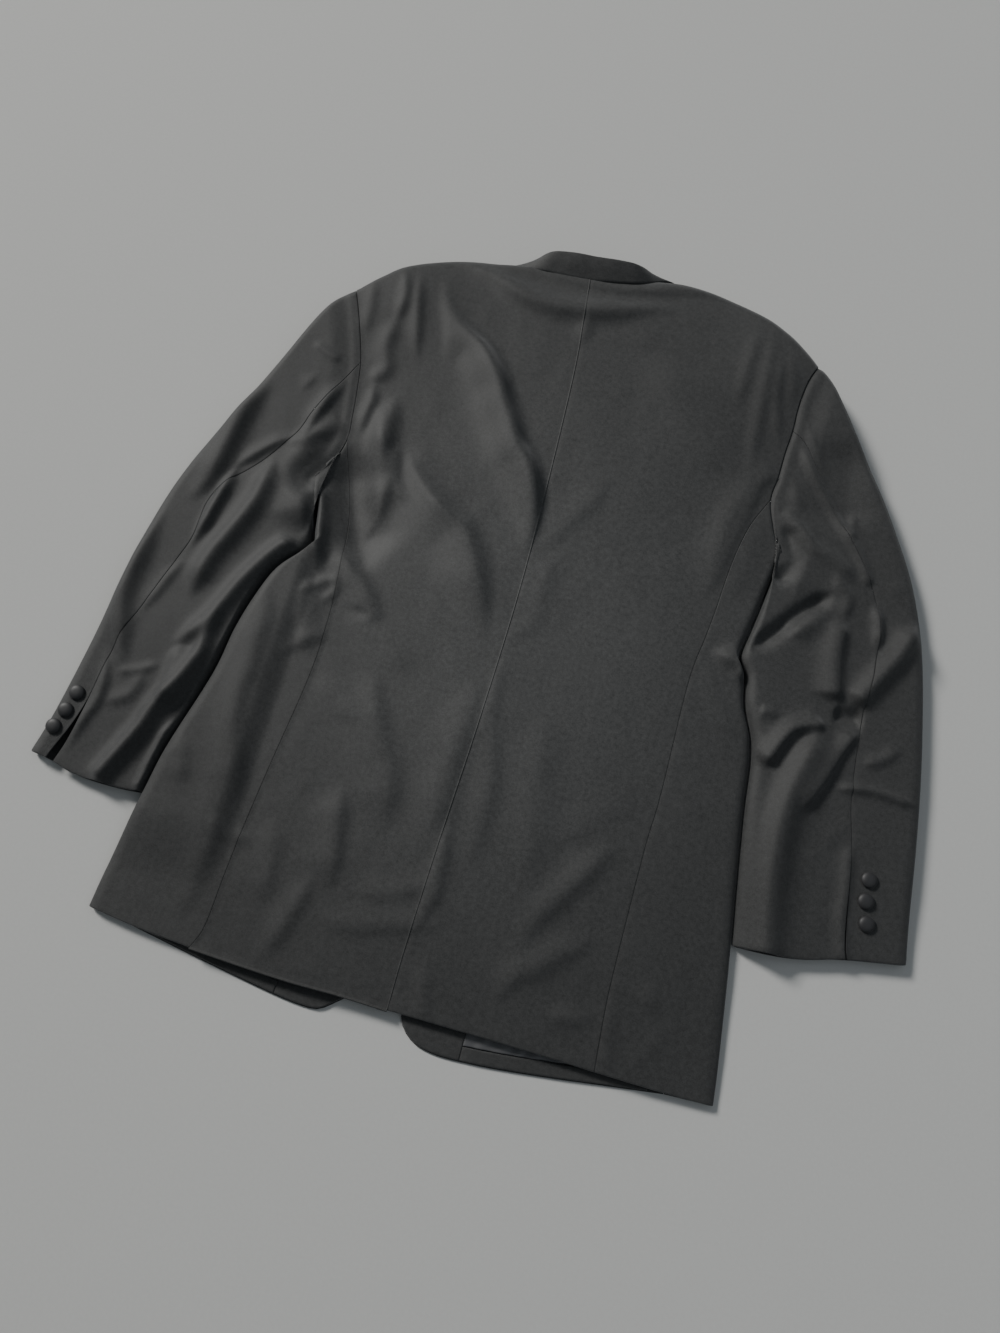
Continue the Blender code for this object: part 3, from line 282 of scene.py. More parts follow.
# Outlines of one side of the laid jacket. Underarm and shoulder end the armhole; its points 2
# and 5 are where the side-back seam and the hind-arm seam reach it.
LEFT = dict(
    sign=-1,
    back_hem=((-6, 0), (-51, 2), (-101, 2.5), (-151, 5), (-197, 8)),
    side_hem=((-197, 8), (-251, 13), (-302, 20)),
    back_seam=(
        (-197, 8), (-189, 30), (-186, 80), (-182, 130), (-177, 180), (-166, 280), (-165, 340),
        (-169, 399), (-179, 459), (-191, 499), (-204, 540),
    ),
    edge=(
        (-302, 20), (-298, 60), (-287, 135), (-280, 181), (-260, 261), (-254, 311), (-245, 351),
        (-234, 382), (-217, 402), (-204, 415), (-207, 434), (-215, 467), (-228, 488),
    ),
    armhole=(
        (-228, 488), (-213, 512), (-204, 540), (-206, 570), (-210, 601), (-215, 631), (-225, 664),
        (-235, 692), (-246, 719),
    ),
    neck=((2, 794), (-35, 793), (-66, 796)),
    shoulder=((-66, 796), (-98, 792), (-148, 783), (-197, 762), (-222, 742), (-246, 719)),
    front_seam=(
        (-257, 13), (-248, 100), (-238, 200), (-220, 300), (-196, 370), (-178, 415), (-183, 460),
        (-193, 500), (-204, 540),
    ),
    front_hem=(
        (-257, 13), (-203, 3), (-152, -6), (-102, -14), (-76, -16), (-66, -14), (-56, -7), (-46, 1),
    ),
    front_edge=(
        (-46, 1), (-42, 60), (-38, 150), (-36, 250), (-36, 330), (-45, 450), (-57, 600), (-64, 720),
        (-66, 796),
    ),
    lapel_edge=((-42, 335), (-78, 420), (-112, 520), (-138, 620), (-150, 672)),
    sleeve_outer=(
        (-246, 719), (-264, 702), (-281, 671), (-304, 611), (-332, 541), (-359, 476), (-374, 416),
        (-384, 341), (-391, 260), (-400, 190), (-409, 145),
    ),
    sleeve_inner=(
        (-228, 488), (-220, 462), (-211, 436), (-208, 416), (-218, 398), (-226, 380), (-229, 340),
        (-232, 280), (-239, 210), (-250, 139),
    ),
    hind_seam=(
        (-215, 631), (-232, 594), (-247, 560), (-258, 530), (-281, 495), (-311, 461), (-324, 436),
        (-326, 397), (-334, 367), (-352, 307), (-360, 278), (-365, 248), (-372, 190), (-386, 141),
    ),
    cuff=((-409, 145), (-386, 141), (-353, 133), (-302, 132), (-250, 139)),
    vent=8.0,  # width of the cuff vent's mouth
    lining_start=0.43,
    folds=LEFT_SLEEVE_FOLDS,
    buttons=((-382, 210), (-387, 191), (-393, 173)),
)
RIGHT = dict(
    sign=1,
    back_hem=((-6, 0), (50, -1), (100, -2), (150, -3.5), (187, -5)),
    side_hem=((187, -5), (240, -6.5), (296, -7)),
    back_seam=(
        (187, -5), (185, 50), (186, 100), (190, 200), (194, 250), (197, 350), (200, 387),
        (205, 415), (210, 449), (216, 499), (226, 544), (242, 580),
    ),
    edge=(
        (296, -7), (294, 30), (288, 110), (281, 181), (274, 261), (272, 301), (267, 331),
        (257, 356), (251, 387), (242, 404), (247, 432), (253, 462), (264, 520),
    ),
    armhole=(
        (264, 520), (251, 548), (242, 580), (245, 607), (247, 635), (250, 662), (251, 692),
        (256, 722), (266, 748),
    ),
    neck=((2, 794), (25, 796), (45, 801), (68, 808)),
    shoulder=(
        (68, 808), (80, 814), (110, 817), (149, 812), (199, 797), (228, 781), (248, 765),
        (266, 748),
    ),
    front_seam=(
        (252, -8), (250, 60), (246, 120), (240, 200), (232, 270), (228, 310), (222, 345),
        (212, 390), (208, 410), (212, 450), (222, 500), (232, 540), (242, 580),
    ),
    front_hem=(
        (252, -8), (201, -14), (151, -20), (100, -25), (60, -27), (40, -26), (25, -22), (13, -13),
        (7, -2),
    ),
    front_edge=(
        (7, -2), (8, 60), (10, 150), (10, 250), (10, 330), (24, 450), (45, 600), (60, 720),
        (68, 808),
    ),
    lapel_edge=((16, 335), (52, 420), (88, 520), (120, 620), (140, 680)),
    sleeve_outer=(
        (266, 748), (280, 736), (300, 706), (336, 646), (368, 591), (399, 526), (419, 456),
        (431, 371), (438, 290), (442, 200), (445, 154),
    ),
    sleeve_inner=(
        (264, 520), (259.3, 489), (254.8, 464), (249.3, 436), (244.2, 412), (244.6, 402),
        (252.2, 388), (257, 362), (262.4, 346), (269.5, 327), (273.3, 303), (275.4, 260),
        (279.1, 216), (282.4, 180), (287.2, 132),
    ),
    hind_seam=(
        (250, 662), (266, 649), (283, 622), (313, 575), (337, 542), (347, 527), (357, 510),
        (367, 486), (373, 456), (372, 426), (369, 387), (370, 298), (378, 243), (385, 164),
        (389, 145),
    ),
    cuff=((445, 154), (389, 145), (352, 136), (321, 132.5), (287.2, 132)),
    vent=1.5,
    lining_start=0.1,
    folds=RIGHT_SLEEVE_FOLDS,
    buttons=((398, 221), (398, 201), (402, 181)),
)
ARMHOLE_SIDE_SEAM, ARMHOLE_HIND_SEAM = 2, 5
LAPEL_START, LAPEL_END = 4, 7  # the points of the front edge between which the lapel rolls out
OUTLINES = (
    "back_hem", "side_hem", "back_seam", "edge", "armhole", "neck", "shoulder", "front_seam",
    "front_hem", "front_edge", "lapel_edge", "sleeve_outer", "sleeve_inner", "hind_seam", "cuff",
)

# The collar's sections from its left end under the front, round the neck to its right end:
# fold line, leaf edge and foot of the stand, each as x, y, z; puff is how round the fold is.
Collar = namedtuple("Collar", "fold edge foot puff")
COLLAR_SECTIONS = (
    Collar((-63, 700.4, 0), (-119, 682.3, 0), (-56, 702.7, 0), 0),
    Collar((-64, 752, 0), (-117, 742, 0), (-57, 753, 0), 0),
    Collar((-62, 796.5, 0), (-103, 792, 0), (-55, 796.5, 0), 0),
    Collar((-60, 804, 8), (-96, 799.5, 8), (-52, 803, 7), 0.3),
    Collar((-56, 806, 24), (-84, 796, 22.5), (-47, 801, 16), 0.6),
    Collar((-45, 808, 37), (-62, 786, 31.5), (-37, 796.5, 24), 1),
    Collar((-25, 810, 40), (-32, 784, 31.5), (-24, 795.5, 26), 1),
    Collar((2, 811, 40.5), (2, 785, 31.5), (2, 796, 26), 1),
    Collar((28, 813, 40), (32, 789.5, 31.5), (27, 798.5, 26), 1),
    Collar((48, 815, 37), (62, 798, 31), (41, 803, 24), 1),
    Collar((60, 819, 24), (86, 817.5, 22.5), (51, 812, 16), 0.6),
    Collar((64, 817, 8), (102, 821.5, 8), (56, 814, 7), 0.3),
    Collar((66, 807, 0), (112, 812.5, 0), (59, 807, 0), 0),
    Collar((66, 766, 0), (121, 764, 0), (58, 766, 0), 0),
    Collar((58, 700.4, 0), (114, 686.7, 0), (50, 702.4, 0), 0),
)
COLLAR_PUFF, LEAF_BEND = 1.6, 0.35  # how far the fold bulges, and where the leaf bends
COLLAR_ROWS, COLLAR_COLUMNS = 12, 9  # from one section to the next, and between its lines
COLLAR_HIDDEN, LEAF_COLUMNS = 50, 12  # rows off the back at each end; columns that face up
COLLAR_LEVEL = 20  # below this height the leaf's unevenness fades out
COLLAR_EDGE, COLLAR_ENDS, COLLAR_RIDGE = 1.0, 0.4, 0.25  # how its edges are pressed

# A covered button: inset and rise of each step from the rim, as shares of radius and depth
DOME_STEPS = ((0.10, 0.22), (0.16, 0.18), (0.22, 0.13), (0.28, 0.06))
HOLLOW_STEPS = ((0.12, 0.06), (0.3, 0.02))  # the same underneath
RIM_DEPTH = 0.4  # of the cylinder that the steps start from
BEVEL_WIDTH, BEVEL_ANGLE = 0.12, 50  # share of the radius, and the least angle in degrees
CAP_FACING, CAP_CORNERS = 0.9, 8  # a cap looks up or down, and has more corners than this
BUTTON_SEAT = 0.16  # how far its foot stands over the sleeve, as a share of its depth
BUTTON_TURN = 0.7  # radians from one button to the next, so that no two lie alike
SLOPE_STEP = 2.0  # the sleeve's slope under a button is measured this far to each side


def measure(name, description, value, low, high):
    return bpy.props.FloatProperty(
        name=name, description=description, default=value, min=low, max=high, unit="LENGTH")


class TuxedoSizes(bpy.types.PropertyGroup):
    """Sizes that a user may change."""

    wool_wall: measure(
        "Wool wall", "Thickness of the body's cloth with its lining", 0.0014, 0.0005, 0.002)
    sleeve_wall: measure(
        "Sleeve wall", "Thickness of the sleeve's cloth with its lining", 0.0012, 0.0005, 0.0015)
    inside_wall: measure(
        "Inside wall", "Thickness of facing, turn-up and lining", 0.001, 0.0005, 0.0012)
    lapel_wall: measure("Lapel wall", "Thickness of lapel and collar", 0.0015, 0.0005, 0.0016)
    cell: measure("Cell", "Grid of the cloth that lies on top", 0.0026, 0.002, 0.02)
    under_cell: measure(
        "Under cell", "Grid of the cloth that lies underneath", 0.006, 0.004, 0.03)
    seam_depth: measure(
        "Seam depth", "How far the cloth is drawn in at a seam", 0.0004, 0.0, 0.0015)
    hem_depth: measure("Hem depth", "How far a pressed hem turns down", 0.0016, 0.0, 0.003)
    seam_reach: measure(
        "Seam reach", "Width of the rounding at a seam or hem", 0.0011, 0.0006, 0.004)
    button_radius: measure(
        "Button radius", "Radius of a covered cuff button", 0.0077, 0.006, 0.008)
    button_depth: measure(
        "Button depth", "Depth of a covered cuff button", 0.0046, 0.003, 0.005)


def colour(name, description, value):
    return bpy.props.FloatVectorProperty(
        name=name, description=description, subtype="COLOR", size=3, min=0, max=1, default=value)


class TuxedoColours(bpy.types.PropertyGroup):
    """Colours of the cloths and the floor."""

    wool: colour("Wool", "Black wool of the panels", (0.0395, 0.0401, 0.0403))
    satin: colour("Satin", "Black satin of lapels and buttons", (0.011, 0.011, 0.012))
    lining: colour("Lining", "Grey satin of the lining", (0.10, 0.10, 0.105))
    floor: colour("Floor", "Pale studio floor", (0.62, 0.62, 0.61))


def sizes():
    return bpy.context.scene.tuxedo_sizes


def colours():
    return bpy.context.scene.tuxedo_colours


# ---------------------------------------------------------------- lines and heights


def smooth(value):
    """0 below 0, 1 above 1, and an even rise between."""
    value = np.clip(value, 0.0, 1.0)
    return value * value * (3.0 - 2.0 * value)


def ramp(value, start, end):
    """An even rise from 0 to 1 between two places."""
    return smooth((value - start) / (end - start))


class Line:
    """A smooth line through points, read by its share of the length."""

    STEPS = 10

    def __init__(self, points, steps=STEPS):
        self.steps = steps
        points = np.array(points, float)
        padded = np.vstack([2 * points[0] - points[1], points, 2 * points[-1] - points[-2]])
        share = (np.arange(steps) / steps)[:, None]
        spans = []
        for before, start, end, after in zip(padded, padded[1:], padded[2:], padded[3:]):
            bend = 2 * before - 5 * start + 4 * end - after
            twist = 3 * start - before - 3 * end + after
            curve = 2 * start + (end - before) * share + bend * share**2 + twist * share**3
            spans.append(0.5 * curve)
        self.dense = np.vstack(spans + [points[-1:]])
        run = np.linalg.norm(np.diff(self.dense, axis=0), axis=1)
        self.marks = np.concatenate([[0.0], np.cumsum(run)])
        self.length = self.marks[-1]

    def __call__(self, share):
        at = np.asarray(share, float) * self.length
        return np.stack([np.interp(at, self.marks, axis) for axis in self.dense.T], -1)

    def mark(self, index):
        """Length from the start to one of the given points."""
        return self.marks[index * self.steps]

    def part(self, start, end):
        """The stretch between two lengths, read by its own share."""
        return lambda share: self((start + (end - start) * np.asarray(share, float)) / self.length)


def chain(first, second, share):
    """Two lines end to end, the first over the given share of the whole."""

    def read(value):
        value = np.asarray(value, float)
        low = first(np.clip(value / share, 0, 1))
        high = second(np.clip((value - share) / (1 - share), 0, 1))
        return np.where((value < share)[..., None], low, high)

    return read


def turned(line):
    """A line read from its other end."""
    return lambda share: line(1 - np.asarray(share, float))


def eased(line, power):
    """A line whose rows crowd towards its start."""
    return lambda share: line(np.asarray(share, float) ** power)


def patch(u, v, low, high, near, far):
    """Plan points inside four boundary lines: low and high run along u, near and far along v."""
    u, v = np.broadcast_arrays(u, v)
    a, b = u[..., None], v[..., None]
    rows = (1 - b) * low(u) + b * high(u)
    columns = (1 - a) * near(v) + a * far(v)
    corners = (1 - a) * ((1 - b) * low(0) + b * high(0)) + a * ((1 - b) * low(1) + b * high(1))
    return rows + columns - corners


def fold_height(fold, line, x, y):
    """Height that one fold adds at plan points, by their distance from its line."""
    start, run = line.dense[:-1], np.diff(line.dense, axis=0)
    length = np.hypot(run[:, 0], run[:, 1])
    from_x, from_y = x[:, None] - start[:, 0], y[:, None] - start[:, 1]
    along = np.clip((from_x * run[:, 0] + from_y * run[:, 1]) / length**2, 0, 1)
    off_x, off_y = from_x - along * run[:, 0], from_y - along * run[:, 1]
    near = np.argmin(off_x**2 + off_y**2, axis=1)
    pick = (np.arange(len(x)), near)
    way = math.copysign(1.0, line.dense[-1, 1] - line.dense[0, 1])
    turn = way * (run[near, 1] * off_x[pick] - run[near, 0] * off_y[pick])
    away = np.hypot(off_x[pick], off_y[pick])
    share = (line.marks[near] + along[pick] * length[near]) / line.length
    ends = np.ones_like(share)
    if fold.start:
        ends *= smooth(share / fold.start)
    if fold.end:
        ends *= smooth((1 - share) / fold.end)
    # the two widths pass into each other round the fold's ends, where the fold also narrows
    lean = np.clip(turn / np.maximum(away * length[near], 1e-9), -1, 1)
    width = fold.west + (fold.east - fold.west) * (0.5 + 0.5 * lean)
    width *= END_WIDTH + (1 - END_WIDTH) * ends
    return fold.height * np.exp(-((away / width) ** 2)) * ends


def folds_at(folds, x, y):
    """Height that a table of folds adds at plan points."""
    total = np.zeros(x.size)
    flat_x, flat_y = x.ravel(), y.ravel()
    for fold, line in folds:
        reach = FOLD_REACH * max(fold.west, fold.east)
        low, high = line.dense.min(0) - reach, line.dense.max(0) + reach
        inside = (flat_x > low[0]) & (flat_x < high[0]) & (flat_y > low[1]) & (flat_y < high[1])
        if inside.any():
            total[inside] += fold_height(fold, line, flat_x[inside], flat_y[inside])
    return total.reshape(x.shape)


def softened(values, width):
    """A grid of values spread over their neighbours, by a bell curve of the given half width."""
    reach = math.ceil(3 * width)
    taps = np.arange(-reach, reach + 1)
    weights = np.exp(-0.5 * (taps / width) ** 2)
    weights /= weights.sum()
    for axis in (0, 1):
        values = sum(weight * np.roll(values, tap, axis) for weight, tap in zip(weights, taps))
    return values


class Relief:
    """Heights of a table of folds on an even grid, softened as thick cloth softens them."""

    CELL = 1.2

    def __init__(self, table, soft):
        folds = [(fold, Line(fold.points, FOLD_STEPS)) for fold in table]
        reach = FOLD_REACH * max(max(fold.west, fold.east) for fold in table) + 4 * soft
        dense = np.vstack([line.dense for _, line in folds])
        self.low, high = dense.min(0) - reach, dense.max(0) + reach
        x, y = np.meshgrid(*(np.arange(a, b, self.CELL) for a, b in zip(self.low, high)))
        self.heights = softened(folds_at(folds, x, y), soft / self.CELL)

    def __call__(self, x, y):
        rows, columns = self.heights.shape
        across = np.clip((x - self.low[0]) / self.CELL, 0, columns - GRID_END)
        up = np.clip((y - self.low[1]) / self.CELL, 0, rows - GRID_END)
        column, row = across.astype(int), up.astype(int)
        corners = [self.heights[row + i, column + j] for i in (0, 1) for j in (0, 1)]
        return between_corners(corners, across - column, up - row)


def between_corners(corners, a, b):
    """A value inside a grid's cell, a of the way across it and b of the way up."""
    low = corners[0] * (1 - a) + corners[1] * a
    high = corners[2] * (1 - a) + corners[3] * a
    return low * (1 - b) + high * b


def drift(x, y, cell, stretch, seed):
    """Smooth uneven values between -1 and 1, about one change in each cell."""
    size = DRIFT_SIZE
    table = np.random.default_rng(seed).uniform(-1, 1, (size, size))
    across = (x * DRIFT_COS + y * DRIFT_SIN) / cell + DRIFT_SHIFT
    along = (y * DRIFT_COS - x * DRIFT_SIN) / (cell * stretch) + DRIFT_SHIFT
    column, row = np.floor(across).astype(int), np.floor(along).astype(int)
    corners = [table[(row + i) % size, (column + j) % size] for i in (0, 1) for j in (0, 1)]
    return between_corners(corners, smooth(across - column), smooth(along - row))


def uneven(x, y, table=UNEVEN):
    return sum(height * drift(x, y, cell, stretch, seed) for cell, height, stretch, seed in table)


def crown(line, y):
    return np.interp(y, line[:, 0], line[:, 1])


CROWN_LINE, SLEEVE_CROWN_LINE = Line(CROWN).dense, Line(SLEEVE_CROWN).dense
BODY_RELIEF = Relief(BODY_FOLDS, BODY_SOFT)


def sleeve_under(x, y):
    """How far the left side is lifted by the sleeve that lies under it."""
    return SLEEVE_LIFT * ramp(x, *TUCK_ACROSS) * ramp(y, *TUCK_BELOW) * ramp(y, *TUCK_ABOVE)


def lapel_under(x, y):
    """How far the chest is lifted by the lapels that lie under it."""
    return LAPEL_LIFT * ramp(y, *LAPEL_BELOW) * ramp(np.abs(x), *LAPEL_ACROSS)


def front_under(x, y):
    """Height of a front's underside."""
    return lapel_under(x, y) + sleeve_under(x, y)


def body_top(x, y):
    """Height of the body's outer cloth, away from its folded edges."""
    across = np.clip(np.abs(x - BODY_MIDDLE) / BODY_HALF, 0, 1)
    mound_across = (np.abs(x - MOUND_MIDDLE) - MOUND_X) / MOUND_WIDE
    mound = MOUND_HEIGHT * np.exp(-(mound_across**2) - ((y - MOUND_Y) / MOUND_LONG) ** 2)
    height = crown(CROWN_LINE, y) * (1 - SIDE_FALL * across**2) + mound
    return height + BODY_RELIEF(x, y) + uneven(x, y) + TUCK_TO_TOP * sleeve_under(x, y)


class Side:
    """The lines, stations and heights of one side of the jacket."""

    def __init__(self, name, table):
        self.name, self.table, self.sign = name, table, table["sign"]
        self.lines = {key: Line(table[key]) for key in OUTLINES}
        arm = self.lines["armhole"]
        self.side_mark = arm.mark(ARMHOLE_SIDE_SEAM)
        self.hind_mark = arm.mark(ARMHOLE_HIND_SEAM)
        self.seam_share = self.lines["back_seam"].dense[-1][1] / CENTRE_BACK[-1][1]
        self.relief = Relief(table["folds"], SLEEVE_SOFT)

    def body_rows(self, cell, roll):
        """Rows of a panel that runs from the hem up its seam and then up the armhole."""
        seam = self.lines["back_seam"].length
        arm = self.lines["armhole"].length - self.side_mark
        low = stations(seam, cell, low=True) / seam
        high = 1 - rolled(arm, roll, cell)[::-1] / arm
        high[-1] = 1 - SHOULDER_OPEN
        share = self.seam_share
        return np.concatenate([share * low, share + (1 - share) * high[1:]])

    def sleeve_top(self, x, y):
        """Height of the sleeve's outer cloth, which leaves the body's at the armhole."""
        own = crown(SLEEVE_CROWN_LINE, y) + self.relief(x, y) + uneven(x, y)
        arm = self.lines["armhole"].dense
        points = np.stack([x, y], -1)[..., None, :]
        away = np.sqrt(((points - arm) ** 2).sum(-1)).min(-1)
        share = smooth(away / HEAD_BLEND)
        height = body_top(x, y) * (1 - share) + own * share
        height += HEAD_ROLL * np.exp(-(((away - HEAD_AT) / HEAD_WIDE) ** 2))
        if self.sign < 0:
            edge = self.lines["edge"].dense
            outside = np.interp(y, edge[:, 1], edge[:, 0]) - x
            room = TUCKED_HEIGHT + TUCK_SLOPE * np.clip(outside - TUCK_EDGE, 0, None)
            height = np.minimum(height, room + TUCK_END_SLOPE * np.clip(y - TUCK_END, 0, None))
        return np.maximum(height, TUCKED_HEIGHT)


def level(x, y):
    """The surface that the jacket lies on."""
    return np.zeros_like(x)


def unit(vectors):
    return vectors / np.maximum(np.linalg.norm(vectors, axis=-1, keepdims=True), 1e-9)


def fall(away, reach):
    """Share of the full height at a distance from a folded edge, round a quarter ellipse."""
    inside = np.clip(1 - away / np.maximum(reach, 1e-6), 0, 1)
    return np.sqrt(np.clip(1 - inside**2, 0, 1))


def layer(plan, edge, reach, top, bottom, upper, weight=1.0, rest=None):
    """Outer points of one layer of cloth that turns round a folded edge.

    plan: the layer's points; edge: the edge's point for each; reach: the roll's width; top and
    bottom: heights of the cloth above and underneath; upper: which of the two this is;
    weight: 0 where the layer runs on level; rest: the height on which the fold lies, where
    that isn't the bottom's.
    """
    x, y = plan[..., 0], plan[..., 1]
    share = fall(np.linalg.norm(edge - plan, axis=-1), reach)
    low = (rest or bottom)(x, y)
    above = top(x, y)
    middle = low + ROLL_MIDDLE * (above - low)
    full = above if upper else bottom(x, y)
    z = full + weight * (middle - full) * (1 - share)
    return np.concatenate([plan, z[..., None]], -1)


# ---------------------------------------------------------------- stations and shells


def stations(length, cell, low=False, high=False):
    """Places along a length, a cell apart and closer at an end that is sewn or folded."""
    start, end = (CLOSE[-1] if low else 0.0), length - (CLOSE[-1] if high else 0.0)
    count = max(1, round((end - start) / cell))
    middle = list(np.linspace(start, end, count + 1))
    near = list(CLOSE[:-1]) if low else []
    far = [length - place for place in CLOSE[:-1]][::-1] if high else []
    return np.array(near + middle + far)


def turn_steps():
    """Stations round a folded edge, up to its full width of 1."""
    return 1 - np.cos(np.linspace(0, math.pi / 2, ROLL_CELLS + 1)[:-1])


def rolled(length, roll, cell, high=False):
    """Places from a folded edge: round its roll, then a cell apart."""
    return np.concatenate([roll * turn_steps(), roll + stations(length - roll, cell, high=high)])


def cell():
    return sizes().cell / MM


def under_cell():
    return sizes().under_cell / MM


def arc(points, axis):
    """Length along the grid from its first row or column."""
    step = np.linalg.norm(np.diff(points, axis=axis), axis=-1)
    start = np.zeros_like(np.take(step, [0], axis=axis))
    return np.concatenate([start, np.cumsum(step, axis=axis)], axis=axis)


def grid_normals(points):
    return unit(np.cross(np.gradient(points, axis=1), np.gradient(points, axis=0)))


def pressed(points, left=0.0, right=0.0, bottom=0.0, top=0.0, ridge=SEAM_RIDGE, out=1.0):
    """A grid whose sides are drawn in by the given depths, with the seam allowance beside.

    left and right are the first and last column, bottom and top the first and last row. The
    allowances are pressed towards the left, so that a piece on the left of its seam turns in
    sharply and the one on the right eases down to it.
    """
    reach = sizes().seam_reach / MM
    normals = out * grid_normals(points)
    drop = np.zeros(points.shape[:2])
    for axis, ends in ((1, (left, right)), (0, (bottom, top))):
        run = arc(points, axis)
        whole = np.take(run, [-1], axis=axis)
        for depth, away, edge, inner in zip(ends, (run, whole - run), (0, -1), (2, -3)):
            if depth:
                outward = np.take(points, [edge], axis) - np.take(points, [inner], axis)
                eases = smooth(-EASE_TURN * unit(outward[..., :2])[..., 0] - EASE_FROM)
                near = np.clip(1 - away / reach, 0, 1)
                far = np.clip(1 - away / (EASE * reach), 0, 1)
                turned_in = (1 - eases) * (1 - np.sqrt(1 - near**2)) + eases * EASED * far**2
                drop = np.maximum(drop, depth * turned_in)
                drop = drop - ridge * np.exp(-(((away - RIDGE_AT) / RIDGE_WIDE) ** 2))
    return points - drop[..., None] * normals


def shell(name, points, wall, slot, rests_on, facing=(0, 0, 1), part=slice(None)):
    """Makes a panel of cloth from a grid of outer points, with its wall inwards.

    part picks the columns that face the way of facing.
    """
    rows, columns = points.shape[:2]
    index = np.arange(rows * columns).reshape(rows, columns)
    corners = (index[:-1, :-1], index[:-1, 1:], index[1:, 1:], index[1:, :-1])
    quads = np.stack(corners, -1).reshape(-1, 4)
    if (grid_normals(points)[:, part] * facing).sum(-1).mean() < 0:
        quads = quads[:, ::-1]
    mesh = bpy.data.meshes.new(f"{name}_cloth")
    mesh.from_pydata(((points - PLACE) * MM).reshape(-1, 3).tolist(), [], quads.tolist())
    across, along = arc(points, 1) * MM, arc(points, 0) * MM
    corner = np.empty(len(mesh.loops), np.int32)
    mesh.loops.foreach_get("vertex_index", corner)
    layout = np.stack([across, along], -1).reshape(-1, 2)[corner]
    mesh.uv_layers.new(name="grain").data.foreach_set("uv", layout.ravel())
    mesh.materials.append(finish(slot))
    mesh.shade_smooth()
    piece = bpy.data.objects.new(f"{name}_cloth", mesh)
    bpy.context.scene.collection.objects.link(piece)
    thicken(piece, wall)
    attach(piece, "root")
    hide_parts(name)


def select(piece):
    bpy.ops.object.select_all(action="DESELECT")
    piece.select_set(True)
    bpy.context.view_layer.objects.active = piece


def thicken(piece, wall):
    select(piece)
    solid = piece.modifiers.new("wall", "SOLIDIFY")
    solid.thickness, solid.offset = wall, -1
    bpy.ops.object.modifier_apply(modifier=solid.name)


# ---------------------------------------------------------------- panels


def make_back(side):
    """Half of the back, from the centre-back seam to the side-back seam and the armhole."""
    lines = side.lines
    arm = lines["armhole"]
    armhole = arm.part(side.side_mark, arm.length)
    outer_edge = chain(lines["back_seam"], armhole, side.seam_share)
    neck, shoulder = lines["neck"], lines["shoulder"]
    neck_share = neck.length / (neck.length + shoulder.length)
    top_edge = chain(neck, shoulder, neck_share)
    width = shoulder.length + neck.length
    inset = SEAM_GAP / 2 / lines["back_hem"].length
    u = (inset + (1 - 2 * inset) * stations(width, cell(), True, True) / width)[None, :]
    v = side.body_rows(cell(), ROLL_TOP)[:, None]
    shape = (lines["back_hem"], top_edge, Line(CENTRE_BACK), outer_edge)
    plan = patch(u, v, *shape)
    edge = patch(u, np.ones_like(v), *shape)
    weight = ramp(u, neck_share - NECK_BLEND, neck_share + NECK_BLEND)
    outer = layer(plan, edge, ROLL_TOP, body_top, sleeve_under, True, weight)
    seam, hem = sizes().seam_depth / MM, sizes().hem_depth / MM
    outer = pressed(outer, left=seam, right=seam, bottom=hem)
    shell(f"back_{side.name}", outer, sizes().wool_wall, "wool", [f"front_{side.name}_cloth"])


def folded_columns(width, radius, reach_cells):
    """Shares of each row from its folded edge: round the roll, then over the flat."""
    reach = np.minimum(radius, 0.5 * width)
    start = reach / width
    shares = [start * turn_steps()[None, :], start + (1 - start) * reach_cells[None, :]]
    return np.hstack(shares), reach


def make_side_panel(side):
    """The underarm panel: from the side-back seam round the fold to the front's seam."""
    lines = side.lines
    arm = lines["armhole"]
    seam_length = lines["back_seam"].length
    v = (stations(seam_length, cell(), low=True) / seam_length)[:, None]
    edge = lines["edge"](v[:, 0])
    under_hem = Line([side.table["edge"][0], side.table["front_seam"][0]])
    layers = []
    for seam, low, radius, spacing, upper in (
        ("back_seam", turned(lines["side_hem"]), ROLL_TOP, cell(), True),
        ("front_seam", under_hem, ROLL_UNDER, under_cell(), False),
    ):
        inner = lines[seam](v[:, 0])
        chord = np.linalg.norm(inner - edge, axis=-1)
        width = (chord + (side.side_mark - chord[-1]) * v[:, 0])[:, None]
        flat = stations(chord.max() - radius, spacing, high=True) / (chord.max() - radius)
        u, reach = folded_columns(width, radius, flat)
        u[:, -1] -= SEAM_GAP / 2 / width[:, 0]
        plan = patch(u, v, low, arm.part(0, side.side_mark), lines["edge"], lines[seam])
        layers.append(layer(plan, edge[:, None], reach, body_top, sleeve_under, upper))
    upper, lower = layers
    outer = np.concatenate([upper[:, ::-1], lower[:, 1:]], 1)
    seam, hem = sizes().seam_depth / MM, sizes().hem_depth / MM
    part = slice(0, upper.shape[1] // 2)
    outer = pressed(outer, left=seam, bottom=hem, top=seam, out=side_out(outer, part))
    shell(f"side_panel_{side.name}", outer, sizes().wool_wall, "wool",
          [f"front_{side.name}_cloth"], part=part)


def side_out(points, part):
    """1 where the grid's own normals point up over the given columns, else -1."""
    return math.copysign(1.0, grid_normals(points)[:, part, 2].mean())


def front_shape(side):
    """The four boundary lines of a front, which lies underneath."""
    lines = side.lines
    arm = lines["armhole"]
    outer_edge = chain(lines["front_seam"], arm.part(side.side_mark, arm.length), side.seam_share)
    return lines["front_hem"], turned(lines["shoulder"]), outer_edge, lines["front_edge"]


